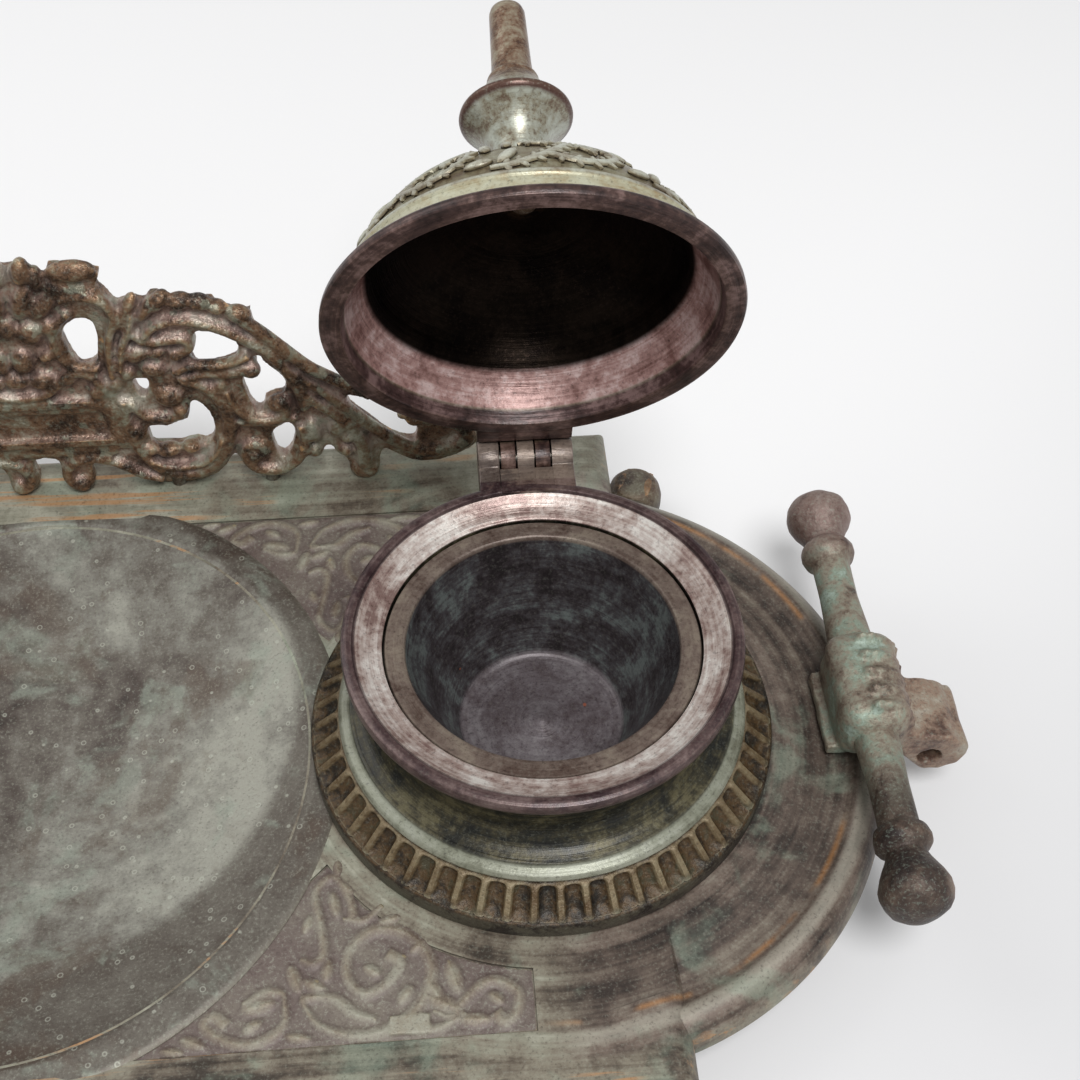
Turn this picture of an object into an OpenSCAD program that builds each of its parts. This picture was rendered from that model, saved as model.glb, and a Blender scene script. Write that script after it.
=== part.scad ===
// Desk inkstand with two hinged wells, a shallow dish between them, a pierced
// back gallery and a cast handle at each end.
// X runs from well to well, -Y faces the writer, Z is up from the table.

/* [Tray] */
// Distance between the centres of the two wells
well_spacing = 184; // [176:2:200]
// Depth of the straight middle part, front edge to back edge
tray_depth = 148; // [146:1:156]
// How far the straight part runs past the centre of each well
straight_over = 19; // [14:1:24]
// How far the wells stand behind the tray's middle line
well_back = 1.5; // [0:0.5:3]
// Thickness of the tray plate
plate_t = 6; // [5:0.5:8]
// Radius of the round lobe under each well
lobe_r = 60.5; // [59:0.5:64]
// Width of the moulding round the lobes
lobe_border = 8.5; // [7:0.5:9.5]
// Width of the raised border along the front and the back
border_w = 14.5; // [13:0.5:16]
// Height of that border over the field
border_h = 1.2; // [0.8:0.1:1.6]
// Width of the slope from the border down to the field
slope_w = 5; // [3:0.5:6]
// Width of the border's short return at each corner
return_w = 8; // [6:0.5:10]
// Radius of the rounded nose of the straight edges
nose_r = 5; // [3:0.5:6]

/* [Dish] */
// Radius of the shallow dish
dish_r = 51.5; // [46:0.5:53]
// Depth of the dish
dish_depth = 9; // [6:0.5:10]
// Wall of the dish below the plate
dish_wall = 3; // [2:0.5:3.5]

/* [Relief panels] */
// Depth of the four let-in scroll panels
panel_recess = 1; // [0.8:0.1:1.6]
// Thickness of a panel's ground
panel_t = 0.5; // [0.3:0.1:0.7]
// Height of the scrolls above the ground
relief_h = 1; // [0.6:0.1:1.6]
// Width of the plain band between the dish and the panels
dish_band = 6; // [5:0.5:8]
// Width of the plain band between the foot rings and the panels
plinth_band = 4; // [3:0.5:6]
// Gap from a panel's edge to its recess
panel_gap = 0.1; // [0.05:0.05:0.3]

/* [Feet] */
// Height from the table to the underside of the tray
foot_h = 10; // [9:0.5:14]
// How far a back toe's centre lies outside the lobe
toe_out = 8.4; // [6:0.2:9]
// How far a front toe's centre lies inside the lobe's edge
front_toe_in = 14; // [8:0.5:18]
// Distance from a toe's centre in to the foot's screw
toe_screw = 17; // [14:0.5:18]
// Direction of the toe, from the long axis
toe_angle = 69; // [62:1:74]
// Radius of the toe
toe_r = 5.5; // [4.5:0.5:6.5]
// Width of the bracket behind the toe
bracket_w = 9; // [7.5:0.5:11]

/* [Well] */
// Radius of the plain plinth under the fluted foot ring
plinth_r = 40; // [38:0.5:42]
// Height of the plinth
plinth_h = 2.5; // [1.5:0.5:4]
// Height of the fluted part of the foot ring
flute_h = 5.5; // [4:0.5:7]
// Top radius of the fluted part
flute_top_r = 35.2; // [34.5:0.1:37]
// Number of flutes round the foot ring
flutes = 56; // [40:4:64]
// Smallest radius of the well's waisted neck
waist_r = 28.5; // [27.5:0.5:30]
// Radius of the well's rim
rim_r = 33; // [32:0.5:35]
// Height of the rim above the tray
rim_h = 28; // [26:0.5:34]
// Fall of the dished face from the rim to the liner
face_drop = 2.6; // [1.5:0.1:3.5]
// Width of the flat land at the rim's edge
rim_land = 1.9; // [1:0.1:2.5]

/* [Liner] */
// Radius of the liner's flange
flange_r = 26.2; // [25.5:0.1:27]
// Thickness of the liner's flange
flange_t = 1.5; // [1:0.1:2]
// Inner radius of the liner's mouth
mouth_r = 22.7; // [20:0.1:23]
// Inner radius of the liner's floor
floor_r = 13.5; // [10:0.5:15]
// Wall of the liner
liner_wall = 1.2; // [0.8:0.1:1.5]
// Room between the liner's bottom and the tray
liner_lift = 1; // [0.5:0.5:2]

/* [Lid] */
// Radius of the lid's rim bead
lid_r = 33.6; // [33:0.1:35]
// Wall of the lid at its rim
lid_rim_wall = 3.3; // [2.5:0.1:3.5]
// Width of the lip outside the dome
lid_lip = 3.4; // [3:0.1:4]
// Height of the dome above the lip
lid_dome_h = 25.2; // [20:0.2:28]
// How far the dome sits to the right of the hinge's middle
lid_side = 0.8; // [0:0.1:1]
// Wall of the dome
lid_wall = 2.2; // [1.6:0.1:3]
// Radius of the flat crown under the finial
crown_r = 6; // [5.5:0.5:8]
// How far the lid stands open
open_angle = 75; // [60:1:78]

/* [Finial] */
// Height of the finial above the crown
finial_h = 40.1; // [36:0.1:44]
// Radius of the flared disc
disc_r = 9.7; // [8:0.1:11]
// Height of the disc above the crown
disc_h = 16.2; // [13:0.1:20]
// Radius of the post above the disc
post_r = 3.4; // [2.8:0.1:4]
// Radius of the neck below the disc
neck_r = 3.8; // [3:0.1:4.4]
// Radius of the stud through the crown
stud_r = 2; // [1.5:0.1:2.4]

/* [Hinge] */
// Width of the hinge
hinge_w = 17; // [15:0.5:20]
// Distance from the well's centre to the hinge pin
pin_y = 40; // [40:0.5:42]
// Height of the pin below the well's rim
pin_drop = 1; // [0.5:0.1:1.5]
// Radius of the pin
pin_r = 1.2; // [1:0.1:1.5]
// Radius of the knuckles
knuckle_r = 3.2; // [3:0.1:3.4]
// Width of each of the lid's two knuckles
lid_knuckle_w = 2.6; // [2:0.1:3]
// Distance from the hinge's middle to the middle of a lid knuckle
lid_knuckle_x = 3.1; // [2.8:0.1:4]
// Thickness of the lid's hinge leaf
leaf_t = 2; // [1.5:0.1:2.5]

/* [Gallery] */
// Thickness of the gallery
gallery_t = 4.5; // [4:0.5:5]
// Distance from the tray's middle line to the gallery's middle
gallery_y = 64.5; // [63.5:0.5:65.5]
// Height of the leaf at the gallery's centre
gallery_h = 60; // [54:1:68]
// Half the length of the gallery
gallery_half = 85; // [80:1:88]
// Height of the raised frame and bosses on the gallery
boss_h = 1.2; // [0.6:0.1:1.6]

/* [Handle] */
// Distance from the lobe's edge in to the handle bar
bar_in = 4; // [2:0.5:5]
// Height of the bar's middle above the tray
bar_z = 6.5; // [6.5:0.5:9]
// Radius of the bar inside the strap
bar_r = 4; // [3.4:0.1:4.2]
// How far the bar has slid back in its strap
bar_slide = 1; // [0:0.5:2]
// Distance from the bar's middle to the knobs' centres
knob_y = 39; // [36:0.5:44]
// Radius of the knobs
knob_r = 6; // [5.4:0.1:6.6]
// Width of the ribbed strap
strap_w = 20; // [16:1:24]
// Wall of the strap round the bar
strap_wall = 2; // [1.6:0.1:2.2]
// Height of the strap's ribs
rib_h = 0.6; // [0.3:0.1:0.6]
// Number of ribs on the strap
ribs = 5; // [3:1:7]
// Distance from the bar to the eye in the scroll lug
eye_out = 14; // [13:0.5:15]
// How far the eye lies below the bar
eye_drop = 9.5; // [8:0.5:10.5]
// Radius of the eye
eye_r = 1.9; // [1.2:0.1:1.9]
// Wall round the eye
eye_wall = 2.6; // [2:0.1:3]
// Width of the scroll lug
lug_w = 13; // [10:0.5:16]

/* [Screws and clearances] */
// Radius of the small screws
screw_r = 1.5; // [1.2:0.1:1.6]
// Radius of their heads
head_r = 3; // [2.5:0.1:3.4]
// Height of their heads
head_h = 1.8; // [1.4:0.1:2]
// How far the gallery's screws run into it
gallery_grip = 3.5; // [3:0.5:5]
// Clearance round screws, studs and hinge pins
pin_gap = 0.05; // [0.02:0.01:0.1]
// Clearance round the liner's flange
seat_gap = 0.2; // [0.1:0.05:0.4]
// Clearance between parts that pass each other
run_gap = 0.3; // [0.2:0.05:0.4]

/* [Hidden] */
$fn = 64;

well_x = well_spacing / 2;
plate_z = foot_h + plate_t;
half_y = tray_depth / 2;
half_x = well_x + straight_over;
border_z = plate_z + border_h;
border_in = half_y - border_w;
line_y = border_in - slope_w;
hole_r = screw_r + pin_gap;
panel_u = well_x / 92;

// Foot ring and well
ring_top = plate_z + plinth_h + flute_h;
rim_z = plate_z + rim_h;
well_bore_r = mouth_r - 0.7;
face_z = rim_z - face_drop;
seat_z = face_z - flange_t - 0.4;
seat_bore_r = mouth_r + liner_wall + run_gap;
screw_ring_r = (well_bore_r + waist_r) / 2 + 0.6;
screw_top = ring_top + 7;

// Hinge and lid, drawn closed and then turned open about the pin
pin_z = rim_z - pin_drop;
sweep_r = knuckle_r + run_gap + 0.1;
lid_z = rim_z + run_gap;
lid_in_r = lid_r - lid_rim_wall;
dome_z = lid_z + 1;
dome_r = lid_r - lid_lip;
crown_z = dome_z + lid_dome_h;
leaf_z = lid_z + run_gap;
leaf_top = pin_z + sweep_r + leaf_t;
leaf_end = 1.5;
stop_z = pin_z - leaf_end * sin(open_angle) + sweep_r * cos(open_angle) - run_gap;
stop_y = pin_y + sweep_r;
stop_t = 2.4;
lug_bottom = pin_z - knuckle_r - 3;

// The frame's origin is under the middle of the whole outline, lids open
tip_y = well_back + pin_y - pin_y * cos(open_angle)
    + (crown_z + finial_h - pin_z) * sin(open_angle);
shift_y = (half_y - tip_y) / 2;

// Handle, straps and gallery
bar_x = lobe_r - bar_in;
bar_axis_z = plate_z + bar_z;
wrap_r = bar_r + strap_wall;
pad_in = bar_x - 14.5;
pad_t = 3;
pad_screw_x = pad_in + 4;
pad_screw_y = strap_w / 4;
gallery_u = gallery_half / 85;
gallery_v = gallery_h / 60;
gallery_foot_x = [24.5, 43] * gallery_u;

// Points on an arc in a plane, with its centre, radii and angles
function arc(c, rx, ry, a0, a1, n) =
    [for (i = [0:n]) let (a = a0 + (a1 - a0) * i / n) c + [rx * cos(a), ry * sin(a)]];

// Points on a spiral that starts at radius r0 and ends at r1
function spiral(r0, r1, a0, turn, n) =
    [for (i = [0:n]) let (t = i / n, r = r0 + (r1 - r0) * t, a = a0 + turn * t)
        [r * cos(a), r * sin(a)]];

// Distance of a toe from its well, row -1 for front and 1 for back
function toe_reach(row) = row < 0 ? lobe_r - front_toe_in : lobe_r + toe_out;

function reversed(list) = [for (i = [len(list) - 1:-1:0]) list[i]];

module placed() translate([0, shift_y, 0]) children();

module at_well(side) placed() translate([side * well_x, well_back, 0]) children();

// The tray's right end, or its mirror image at the left
module at_end(side) placed() mirror([side < 0 ? 1 : 0, 0, 0])
    translate([well_x, 0, 0]) children();

// side is -1 for left and 1 for right, row is -1 for front and 1 for back
module corner(side, row)
    placed() mirror([side < 0 ? 1 : 0, 0, 0]) mirror([0, row < 0 ? 1 : 0, 0])
        children();

// One turned volute of a scroll, tapering to its tip
module volute(r0, r1, a0, turn, w, h, n = 20)
    linear_extrude(h)
        polygon(concat(spiral(r0, r1, a0, turn, n),
            reversed(spiral(r0 - w, r1 - w * 0.45, a0, turn, n))));

// Edge section of the straight part, with rounded noses at both ends
function block_section(half) = concat(
    [[-half + 1, foot_h], [half - 1, foot_h]],
    arc([half - nose_r, border_z - nose_r], nose_r, nose_r, 0, 90, 6),
    arc([-half + nose_r, border_z - nose_r], nose_r, nose_r, 90, 180, 6));

// Section of the sunk field: its flat floor and the slopes up to the border
function field_section(half) = let (rise = 2 * border_h, run = 2 * slope_w)
    [[-half, plate_z], [half, plate_z], [half + run, plate_z + rise],
    [-half - run, plate_z + rise]];

// Crossing two sections mitres their corners
module crossed(section_y, section_x) intersection() {
    rotate([90, 0, 90]) linear_extrude(2 * half_x, center = true) polygon(section_y);
    rotate([90, 0, 0]) linear_extrude(2 * half_y, center = true) polygon(section_x);
}

module straight_block() difference() {
    crossed(block_section(half_y), block_section(half_x));
    crossed(field_section(line_y), field_section(half_x - return_w - slope_w));
    for (side = [-1, 1]) translate([side * well_x, 0, plate_z])
        cylinder(r = lobe_r - lobe_border, h = 2 * border_h, $fn = 128);
}

// Round lobe with an ogee edge
module lobe() {
    inner = lobe_r - lobe_border;
    ridge = inner + lobe_border / 2;
    rotate_extrude($fn = 128) polygon(concat(
        [[0, foot_h], [lobe_r - 0.4, foot_h], [lobe_r, foot_h + 0.8],
        [lobe_r - 0.4, foot_h + 1.8], [lobe_r - 1.6, foot_h + 2.2]],
        arc([lobe_r - 1.2, plate_z - 0.8], lobe_r - 1.2 - ridge, plate_z - foot_h - 3,
            250, 190, 3),
        [[ridge, plate_z - 0.4], [inner + 0.9, plate_z - 0.7], [inner, plate_z],
        [0, plate_z]]));
}

// Section of the dish, as a cut (grow 0) or as its underside (grow the wall)
module dish_shape(grow) {
    sphere_r = (dish_r * dish_r + dish_depth * dish_depth) / (2 * dish_depth);
    top = plate_z + 1;
    cz = plate_z - dish_depth + sphere_r;
    reach = asin(min(0.9, (dish_r + grow) / (sphere_r + grow)));
    rotate_extrude($fn = 128) polygon(concat(
        [for (i = [0:10]) let (a = reach * i / 10)
            [(sphere_r + grow) * sin(a), cz - (sphere_r + grow) * cos(a)]],
        grow == 0 ? [[dish_r, top], [0, top]] : [[dish_r + grow, foot_h + 1], [0, foot_h + 1]]));
}

// Ground of a scroll panel between the dish, the well and the front border,
// drawn for wells 92 from the middle
module panel_outline(gap) {
    dish_side = dish_r + dish_band + gap;
    well_side = plinth_r + plinth_band + gap;
    difference() {
        polygon([[24 * panel_u, line_y - 0.5 - gap], [87 * panel_u - gap, line_y - 0.5 - gap],
            [87 * panel_u - gap, 38 * panel_u], [58 * panel_u, 22 * panel_u + gap * 8],
            [53 * panel_u, 22 * panel_u + gap * 8]]);
        circle(dish_side, $fn = 128);
        translate([well_x, 0]) circle(well_side, $fn = 128);
    }
}

module screw(length) {
    cylinder(r = head_r, h = head_h, $fn = 32);
    cylinder(r = screw_r, h = head_h + length, $fn = 32);
}

module screw_hole(length) cylinder(r = hole_r, h = length, $fn = 32);

module foot_places() for (side = [-1, 1], row = [-1, 1])
    translate([side * well_x, 0, 0]) mirror([side < 0 ? 1 : 0, 0, 0])
        rotate([0, 0, row * toe_angle])
            translate([toe_reach(row) - toe_screw, 0, 0]) children();

module well_screw_places() for (i = [0:2])
    rotate([0, 0, 30 + 120 * i]) translate([screw_ring_r, 0, 0]) children();

module gallery_screw_places() for (side = [-1, 1], x = gallery_foot_x)
    translate([side * x, gallery_y, 0]) children();

module strap_screw_places() for (row = [-1, 1])
    translate([pad_screw_x, row * pad_screw_y, 0]) children();

module base_tray() color("darkkhaki") placed() difference() {
    union() {
        straight_block();
        for (side = [-1, 1]) translate([side * well_x, 0, 0]) lobe();
        dish_shape(dish_wall);
    }
    dish_shape(0);
    for (side = [0, 1], row = [0, 1]) mirror([side, 0, 0]) mirror([0, row, 0])
        translate([0, 0, plate_z - panel_recess]) linear_extrude(panel_recess + 1)
            panel_outline(0);
    foot_places() translate([0, 0, foot_h - 1]) screw_hole(plate_t - 0.5);
    for (side = [-1, 1]) translate([side * well_x, well_back, foot_h - 1]) well_screw_places()
        screw_hole(plate_t + 2);
    translate([0, 0, foot_h - 1]) gallery_screw_places() screw_hole(plate_t + border_h + 2);
    for (side = [-1, 1]) translate([side * well_x, 0, foot_h - 1])
        mirror([side < 0 ? 1 : 0, 0, 0]) strap_screw_places() screw_hole(plate_t + 2);
}

// A bracket foot that ends in a rounded toe, outside the lobe at the back
module foot(side, row) color("peru") corner(side, row)
    translate([well_x, 0, 0]) rotate([0, 0, toe_angle]) difference() {
        reach = toe_reach(row);
        screw_x = reach - toe_screw;
        seat_end = min(lobe_r - 1.5, reach - toe_r + 1);
        union() {
            translate([reach, 0, 0]) rotate_extrude() polygon(concat(
                [[0, 0], [toe_r - 1.5, 0]],
                arc([toe_r - 3, foot_h / 2], 3, foot_h / 2 - 0.3, -70, 70, 8),
                [[toe_r - 2, foot_h - 0.2], [0, foot_h - 0.2]]));
            rotate([90, 0, 0]) linear_extrude(bracket_w, center = true)
                polygon(concat([[screw_x - head_r - 4, foot_h],
                    [screw_x - head_r - 4, foot_h - 1.5]],
                    arc([reach - 2, foot_h - 5.5], 8, 4, 190, 270, 4),
                    [[reach, foot_h - 9], [reach, foot_h - 0.2],
                    [seat_end, foot_h - 0.2], [seat_end, foot_h]]));
            translate([screw_x, 0, foot_h - 5]) cylinder(r = head_r + 1, h = 5, $fn = 32);
        }
        translate([screw_x, 0, foot_h - 6]) screw_hole(8);
        translate([screw_x, 0, -1]) cylinder(r = head_r + run_gap, h = foot_h - 4, $fn = 32);
    }

module foot_screws() color("gray") placed() foot_places()
    translate([0, 0, foot_h - 5 - head_h]) screw(5 + plate_t - 2);

// A let-in panel with foliate scrolls in low relief
module scroll_panel(side, row) color("olivedrab") corner(side, row)
    translate([0, 0, plate_z - panel_recess]) {
        linear_extrude(panel_t) panel_outline(panel_gap);
        for (v = [[61.5, 44.3, 10.5, 2.4, -150, -500], [80.5, 48.9, 4.6, 1.6, 150, -380],
                [42.3, 47.9, 5.2, 1.8, -20, 400]])
            translate([v[0] * panel_u, line_y * v[1] / 54.5, panel_t - 0.1])
                volute(v[2] * panel_u, v[3] * panel_u, v[4], v[5], 1.7 * panel_u,
                    relief_h + 0.1);
    }

// A flat stem along the path, w0 wide at its start and w1 at its end
module stem(path, w0, w1) {
    n = len(path) - 1;
    function side(i) = let (a = path[max(0, i - 1)], b = path[min(n, i + 1)], d = b - a)
        [-d[1], d[0]] / norm(d) * (w0 + (w1 - w0) * i / n) / 2;
    polygon(concat([for (i = [0:n]) path[i] + side(i)],
        [for (i = [n:-1:0]) path[i] - side(i)]));
    translate(path[0]) circle(w0 / 2 + 0.2, $fn = 24);
    translate(path[n]) circle(w1 / 2 + 0.2, $fn = 24);
}

// Right half of the pierced cresting, from the centre leaf to the end curl.
// It is drawn 85 long and 60 high, then stretched to the gallery's own size.
module gallery_silhouette() scale([gallery_u, gallery_v]) {
    polygon([[0, 8], [13, 8.5], [17, 13], [17.5, 30], [14, 34], [11, 35.5],
        [9.8, 41], [13, 45], [16, 43], [16.5, 33], [20, 41], [24, 44.5], [30, 44],
        [41, 42.5], [41, 45.5], [36, 49], [28, 50], [22, 49], [18.5, 46.5], [16, 50],
        [18.5, 54], [17, 57.5], [10, 59], [8, 56], [5.5, 56.5], [3.5, 59.5], [0, 60]]);
    stem([[20, 41], [30.5, 42.5], [39.5, 41], [47.5, 34], [50.5, 26], [51, 18],
        [52, 8.5]], 5, 3.6);
    stem([[43, 41.5], [49, 35.5], [54, 29.5], [64, 22.5]], 4.5, 2.2);
    stem([[48.5, 31], [55, 21], [60, 13.5], [61.5, 4]], 5, 7);
    stem([[55.5, 20], [66, 10.5], [73.5, 5.5], [80, 6], [83.5, 10], [82, 14],
        [77, 16.5]], 5, 3.5);
    stem([[17.5, 26], [17, 18.5], [19.5, 9.5], [24.5, 5.5], [30.5, 7], [35, 13],
        [36, 21], [34, 26.5], [29, 31]], 4.5, 6);
    stem([[36, 22], [39.5, 18], [43.5, 16.5], [47.5, 18.5], [47.5, 22.5]], 3, 3.5);
    stem([[36.5, 13], [38, 6.5], [42, 3.8], [46.5, 5], [49.5, 10], [50, 16]], 3, 3);
    stem([[37.5, 12], [41, 11], [40.5, 8]], 2.6, 3);
    stem([[17.5, 19.5], [21, 17.5], [26, 18.8], [28.5, 22]], 3.5, 3);
    stem([[20.5, 9.5], [25, 10], [32, 12]], 4, 2.5);
    stem([[17, 31], [21, 34.5], [27, 31], [34, 29.5], [42, 31.5]], 7, 3.5);
    stem([[22, 42], [22, 36], [29, 38.5]], 5, 4.5);
    stem([[12, 10], [8, 8.5], [5, 5.5], [6, 3]], 3.5, 4);
    for (x = [24.5, 43])
        translate([x - 4, 0]) square([8, 6]);
    translate([61.5, 3.6]) circle(3.6, $fn = 32);
    translate([6, 3]) circle(3, $fn = 32);
}

module gallery() color("sienna") placed() difference() {
    translate([0, gallery_y, border_z]) {
        for (side = [0, 1]) mirror([side, 0, 0])
            rotate([90, 0, 0]) linear_extrude(gallery_t, center = true)
                gallery_silhouette();
        translate([-13 * gallery_u, -gallery_t / 2 - boss_h, 12.5 * gallery_v])
            difference() {
                cube([26 * gallery_u, boss_h + 0.5, 13 * gallery_v]);
                translate([2 * gallery_u, -1, 3 * gallery_v])
                    cube([22 * gallery_u, boss_h + 2, 7 * gallery_v]);
            }
        for (side = [-1, 1], p = [[44, 21], [40.5, 8.5], [6, 3], [79, 13]])
            translate([side * p[0] * gallery_u, -gallery_t / 2 + 0.5, p[1] * gallery_v])
                rotate([90, 0, 0]) cylinder(r = 2 * gallery_u, h = boss_h + 0.5, $fn = 32);
    }
    translate([0, 0, border_z - 1]) gallery_screw_places()
        screw_hole(gallery_grip + 1.5);
}

module gallery_screws() color("gray") placed() gallery_screw_places()
    translate([0, 0, foot_h - head_h]) screw(border_z - foot_h + gallery_grip);

// Foot ring: plain plinth, fluted slope and a land for the well's foot
module foot_ring(side) color("darkgoldenrod") at_well(side) difference() {
    union() {
        translate([0, 0, plate_z]) cylinder(r = plinth_r, h = plinth_h, $fn = 128);
        translate([0, 0, plate_z + plinth_h])
            linear_extrude(flute_h, scale = flute_top_r / (plinth_r - 0.4))
                polygon([for (i = [0:flutes * 4 - 1]) let (a = 90 * i / flutes)
                    (plinth_r - 0.4 - [0.9, 0.2, 0, 0.2][i % 4]) * [cos(a), sin(a)]]);
    }
    translate([0, 0, plate_z - 1]) cylinder(r = well_bore_r, h = ring_top, $fn = 96);
    translate([0, 0, plate_z - 1]) well_screw_places() screw_hole(ring_top);
}

// Waisted well with a flared rim, a dished face and a seat for the liner
module well_shell() rotate_extrude($fn = 96) polygon(concat(
    [[well_bore_r, ring_top], [flute_top_r - 1.4, ring_top], [flute_top_r - 0.4, ring_top + 1],
    [flute_top_r - 1.6, ring_top + 2]],
    arc([waist_r + 3.4, ring_top + 6.6], 3.4, 4, 250, 180, 4),
    arc([waist_r + 3.6, rim_z - 8.4], 3.6, 5.2, 180, 105, 5),
    [[rim_r, rim_z - 2.6], [rim_r, rim_z - 0.5], [rim_r - 0.5, rim_z],
    [rim_r - rim_land, rim_z], [rim_r - rim_land - 0.3, rim_z - 0.5]],
    [for (t = [0.25:0.25:1]) [rim_r - rim_land - 0.3
        - (rim_r - rim_land - 0.3 - flange_r - seat_gap) * t,
        rim_z - 0.5 - (face_drop - 0.5) * sin(90 * t)]],
    [[flange_r + seat_gap, seat_z], [seat_bore_r, seat_z], [seat_bore_r, seat_z - 3],
    [well_bore_r, ring_top + 5]]));

// Three fixed knuckles on a lug behind the rim, with a stop for the lid's leaf
module well_lug() difference() {
    union() {
        intersection() {
            translate([-hinge_w / 2, 0, lug_bottom])
                cube([hinge_w, pin_y - sweep_r, rim_z - lug_bottom]);
            difference() {
                translate([0, 0, lug_bottom]) cylinder(r = pin_y, h = 20, $fn = 96);
                translate([0, 0, lug_bottom - 1])
                    cylinder(r = rim_r - 2.4, h = 22, $fn = 96);
            }
        }
        translate([-hinge_w / 2, pin_y - sweep_r - 1, lug_bottom])
            cube([hinge_w, 2 * sweep_r + stop_t + 1, pin_z - sweep_r - lug_bottom]);
        translate([-hinge_w / 2, stop_y, lug_bottom])
            cube([hinge_w, stop_t, stop_z - lug_bottom]);
        difference() {
            translate([-hinge_w / 2, pin_y, pin_z]) rotate([0, 90, 0])
                cylinder(r = knuckle_r, h = hinge_w, $fn = 48);
            slots();
        }
        difference() {
            translate([-hinge_w / 2, pin_y - sweep_r - 0.5, lug_bottom])
                cube([hinge_w, sweep_r + 0.5, pin_z - lug_bottom]);
            slots();
        }
    }
    pin_bore();
}

// Room for the lid's two knuckles
module slots() for (s = [-1, 1])
    translate([s * lid_knuckle_x - lid_knuckle_w / 2 - run_gap, pin_y - sweep_r,
        pin_z - sweep_r])
        cube([lid_knuckle_w + 2 * run_gap, 4 * sweep_r, 4 * sweep_r]);

module pin_bore() translate([-hinge_w, pin_y, pin_z]) rotate([0, 90, 0])
    cylinder(r = pin_r + pin_gap, h = 2 * hinge_w, $fn = 32);

module well_body(side) color("rosybrown") at_well(side) difference() {
    union() {
        well_shell();
        well_lug();
    }
    translate([0, 0, ring_top - 1]) well_screw_places()
        screw_hole(screw_top - ring_top + 1.5);
}

module well_screws(side) color("gray") at_well(side) well_screw_places()
    translate([0, 0, foot_h - head_h]) screw(screw_top - foot_h);

module hinge_pin(side) color("silver") at_well(side)
    translate([-hinge_w / 2, pin_y, pin_z]) rotate([0, 90, 0])
        cylinder(r = pin_r, h = hinge_w, $fn = 32);

module opened(side) at_well(side) translate([0, pin_y, pin_z])
    rotate([-open_angle, 0, 0]) translate([0, -pin_y, -pin_z]) children();

// Domed lid with a flared lip, two knuckles and a leaf that meets the stop
module lid(side) color("slategray") opened(side) difference() {
    inner_top = crown_z - lid_wall;
    union() {
        translate([lid_side, 0, 0]) rotate_extrude($fn = 96) polygon(concat(
            [[lid_in_r, lid_z], [lid_r - 0.4, lid_z], [lid_r, lid_z + 0.5],
            [lid_r, lid_z + 1.8], [lid_r - 1.3, lid_z + 2.8]],
            [for (p = arc([0, dome_z], dome_r, lid_dome_h, 9, 90, 9))
                if (p[0] > crown_r) p],
            [[crown_r, crown_z], [0, crown_z], [0, inner_top], [crown_r, inner_top]],
            reversed([for (p = arc([0, dome_z], dome_r - lid_wall, lid_dome_h - lid_wall,
                9, 90, 9)) if (p[0] > crown_r) p])));
        difference() {
            intersection() {
                translate([-hinge_w / 2, lid_r - 4, leaf_z])
                    cube([hinge_w, pin_y + leaf_end - lid_r + 4, leaf_top - leaf_z]);
                difference() {
                    cylinder(r = 2 * pin_y, h = 4 * rim_z, $fn = 96);
                    translate([lid_side, 0, -1])
                        cylinder(r = lid_in_r - 0.2, h = 5 * rim_z, $fn = 96);
                }
            }
            translate([-hinge_w, pin_y, pin_z]) rotate([0, 90, 0])
                cylinder(r = sweep_r, h = 2 * hinge_w, $fn = 48);
        }
        for (s = [-1, 1]) translate([s * lid_knuckle_x - lid_knuckle_w / 2, 0, 0]) {
            translate([0, pin_y, pin_z]) rotate([0, 90, 0])
                cylinder(r = knuckle_r, h = lid_knuckle_w, $fn = 48);
            translate([0, pin_y - 2, pin_z + 1])
                cube([lid_knuckle_w, 2 + leaf_end, leaf_top - pin_z - 1.5]);
        }
    }
    pin_bore();
    translate([lid_side, 0, 0]) cylinder(r = stud_r + pin_gap, h = 2 * crown_z, $fn = 32);
}

// Turned finial: foot, neck, flared disc and a tapering post on a hidden stud
module finial(side) color("darkseagreen") opened(side)
    translate([lid_side, 0, crown_z]) {
    rotate_extrude($fn = 48) polygon(concat(
        [[0, 0], [crown_r - 0.8, 0], [crown_r - 0.8, 1.2], [neck_r + 0.5, 2.6]],
        [for (t = [0.1:0.15:0.85]) [neck_r + (disc_r - neck_r) * pow(t, 3.2),
            3.6 + (disc_h - 3.6) * t]],
        [[disc_r, disc_h - 1], [disc_r, disc_h], [post_r + 0.8, disc_h + 2.6],
        [post_r, disc_h + 4.4], [post_r * 0.86, finial_h - 5]],
        arc([0, finial_h - 2.6], post_r * 0.8, 2.6, 0, 90, 5)));
    translate([0, 0, -lid_wall - 0.5]) cylinder(r = stud_r, h = lid_wall + 1, $fn = 32);
}

// Lift-out ink liner: flange, tapered cup and flat floor
module liner(side) color("saddlebrown") at_well(side) {
    bottom = plate_z + liner_lift;
    top = seat_z + flange_t;
    rotate_extrude($fn = 96) polygon([
        [0, bottom], [floor_r + liner_wall - 0.8, bottom], [floor_r + liner_wall, bottom + 0.8],
        [mouth_r + liner_wall, seat_z], [flange_r, seat_z],
        [flange_r, top - 0.3], [flange_r - 0.3, top], [mouth_r + 0.4, top],
        [mouth_r, top - 0.4], [mouth_r - 0.2, seat_z - 1],
        [floor_r + 0.8, bottom + liner_wall + 0.7], [floor_r, bottom + liner_wall],
        [0, bottom + liner_wall]]);
}

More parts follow.
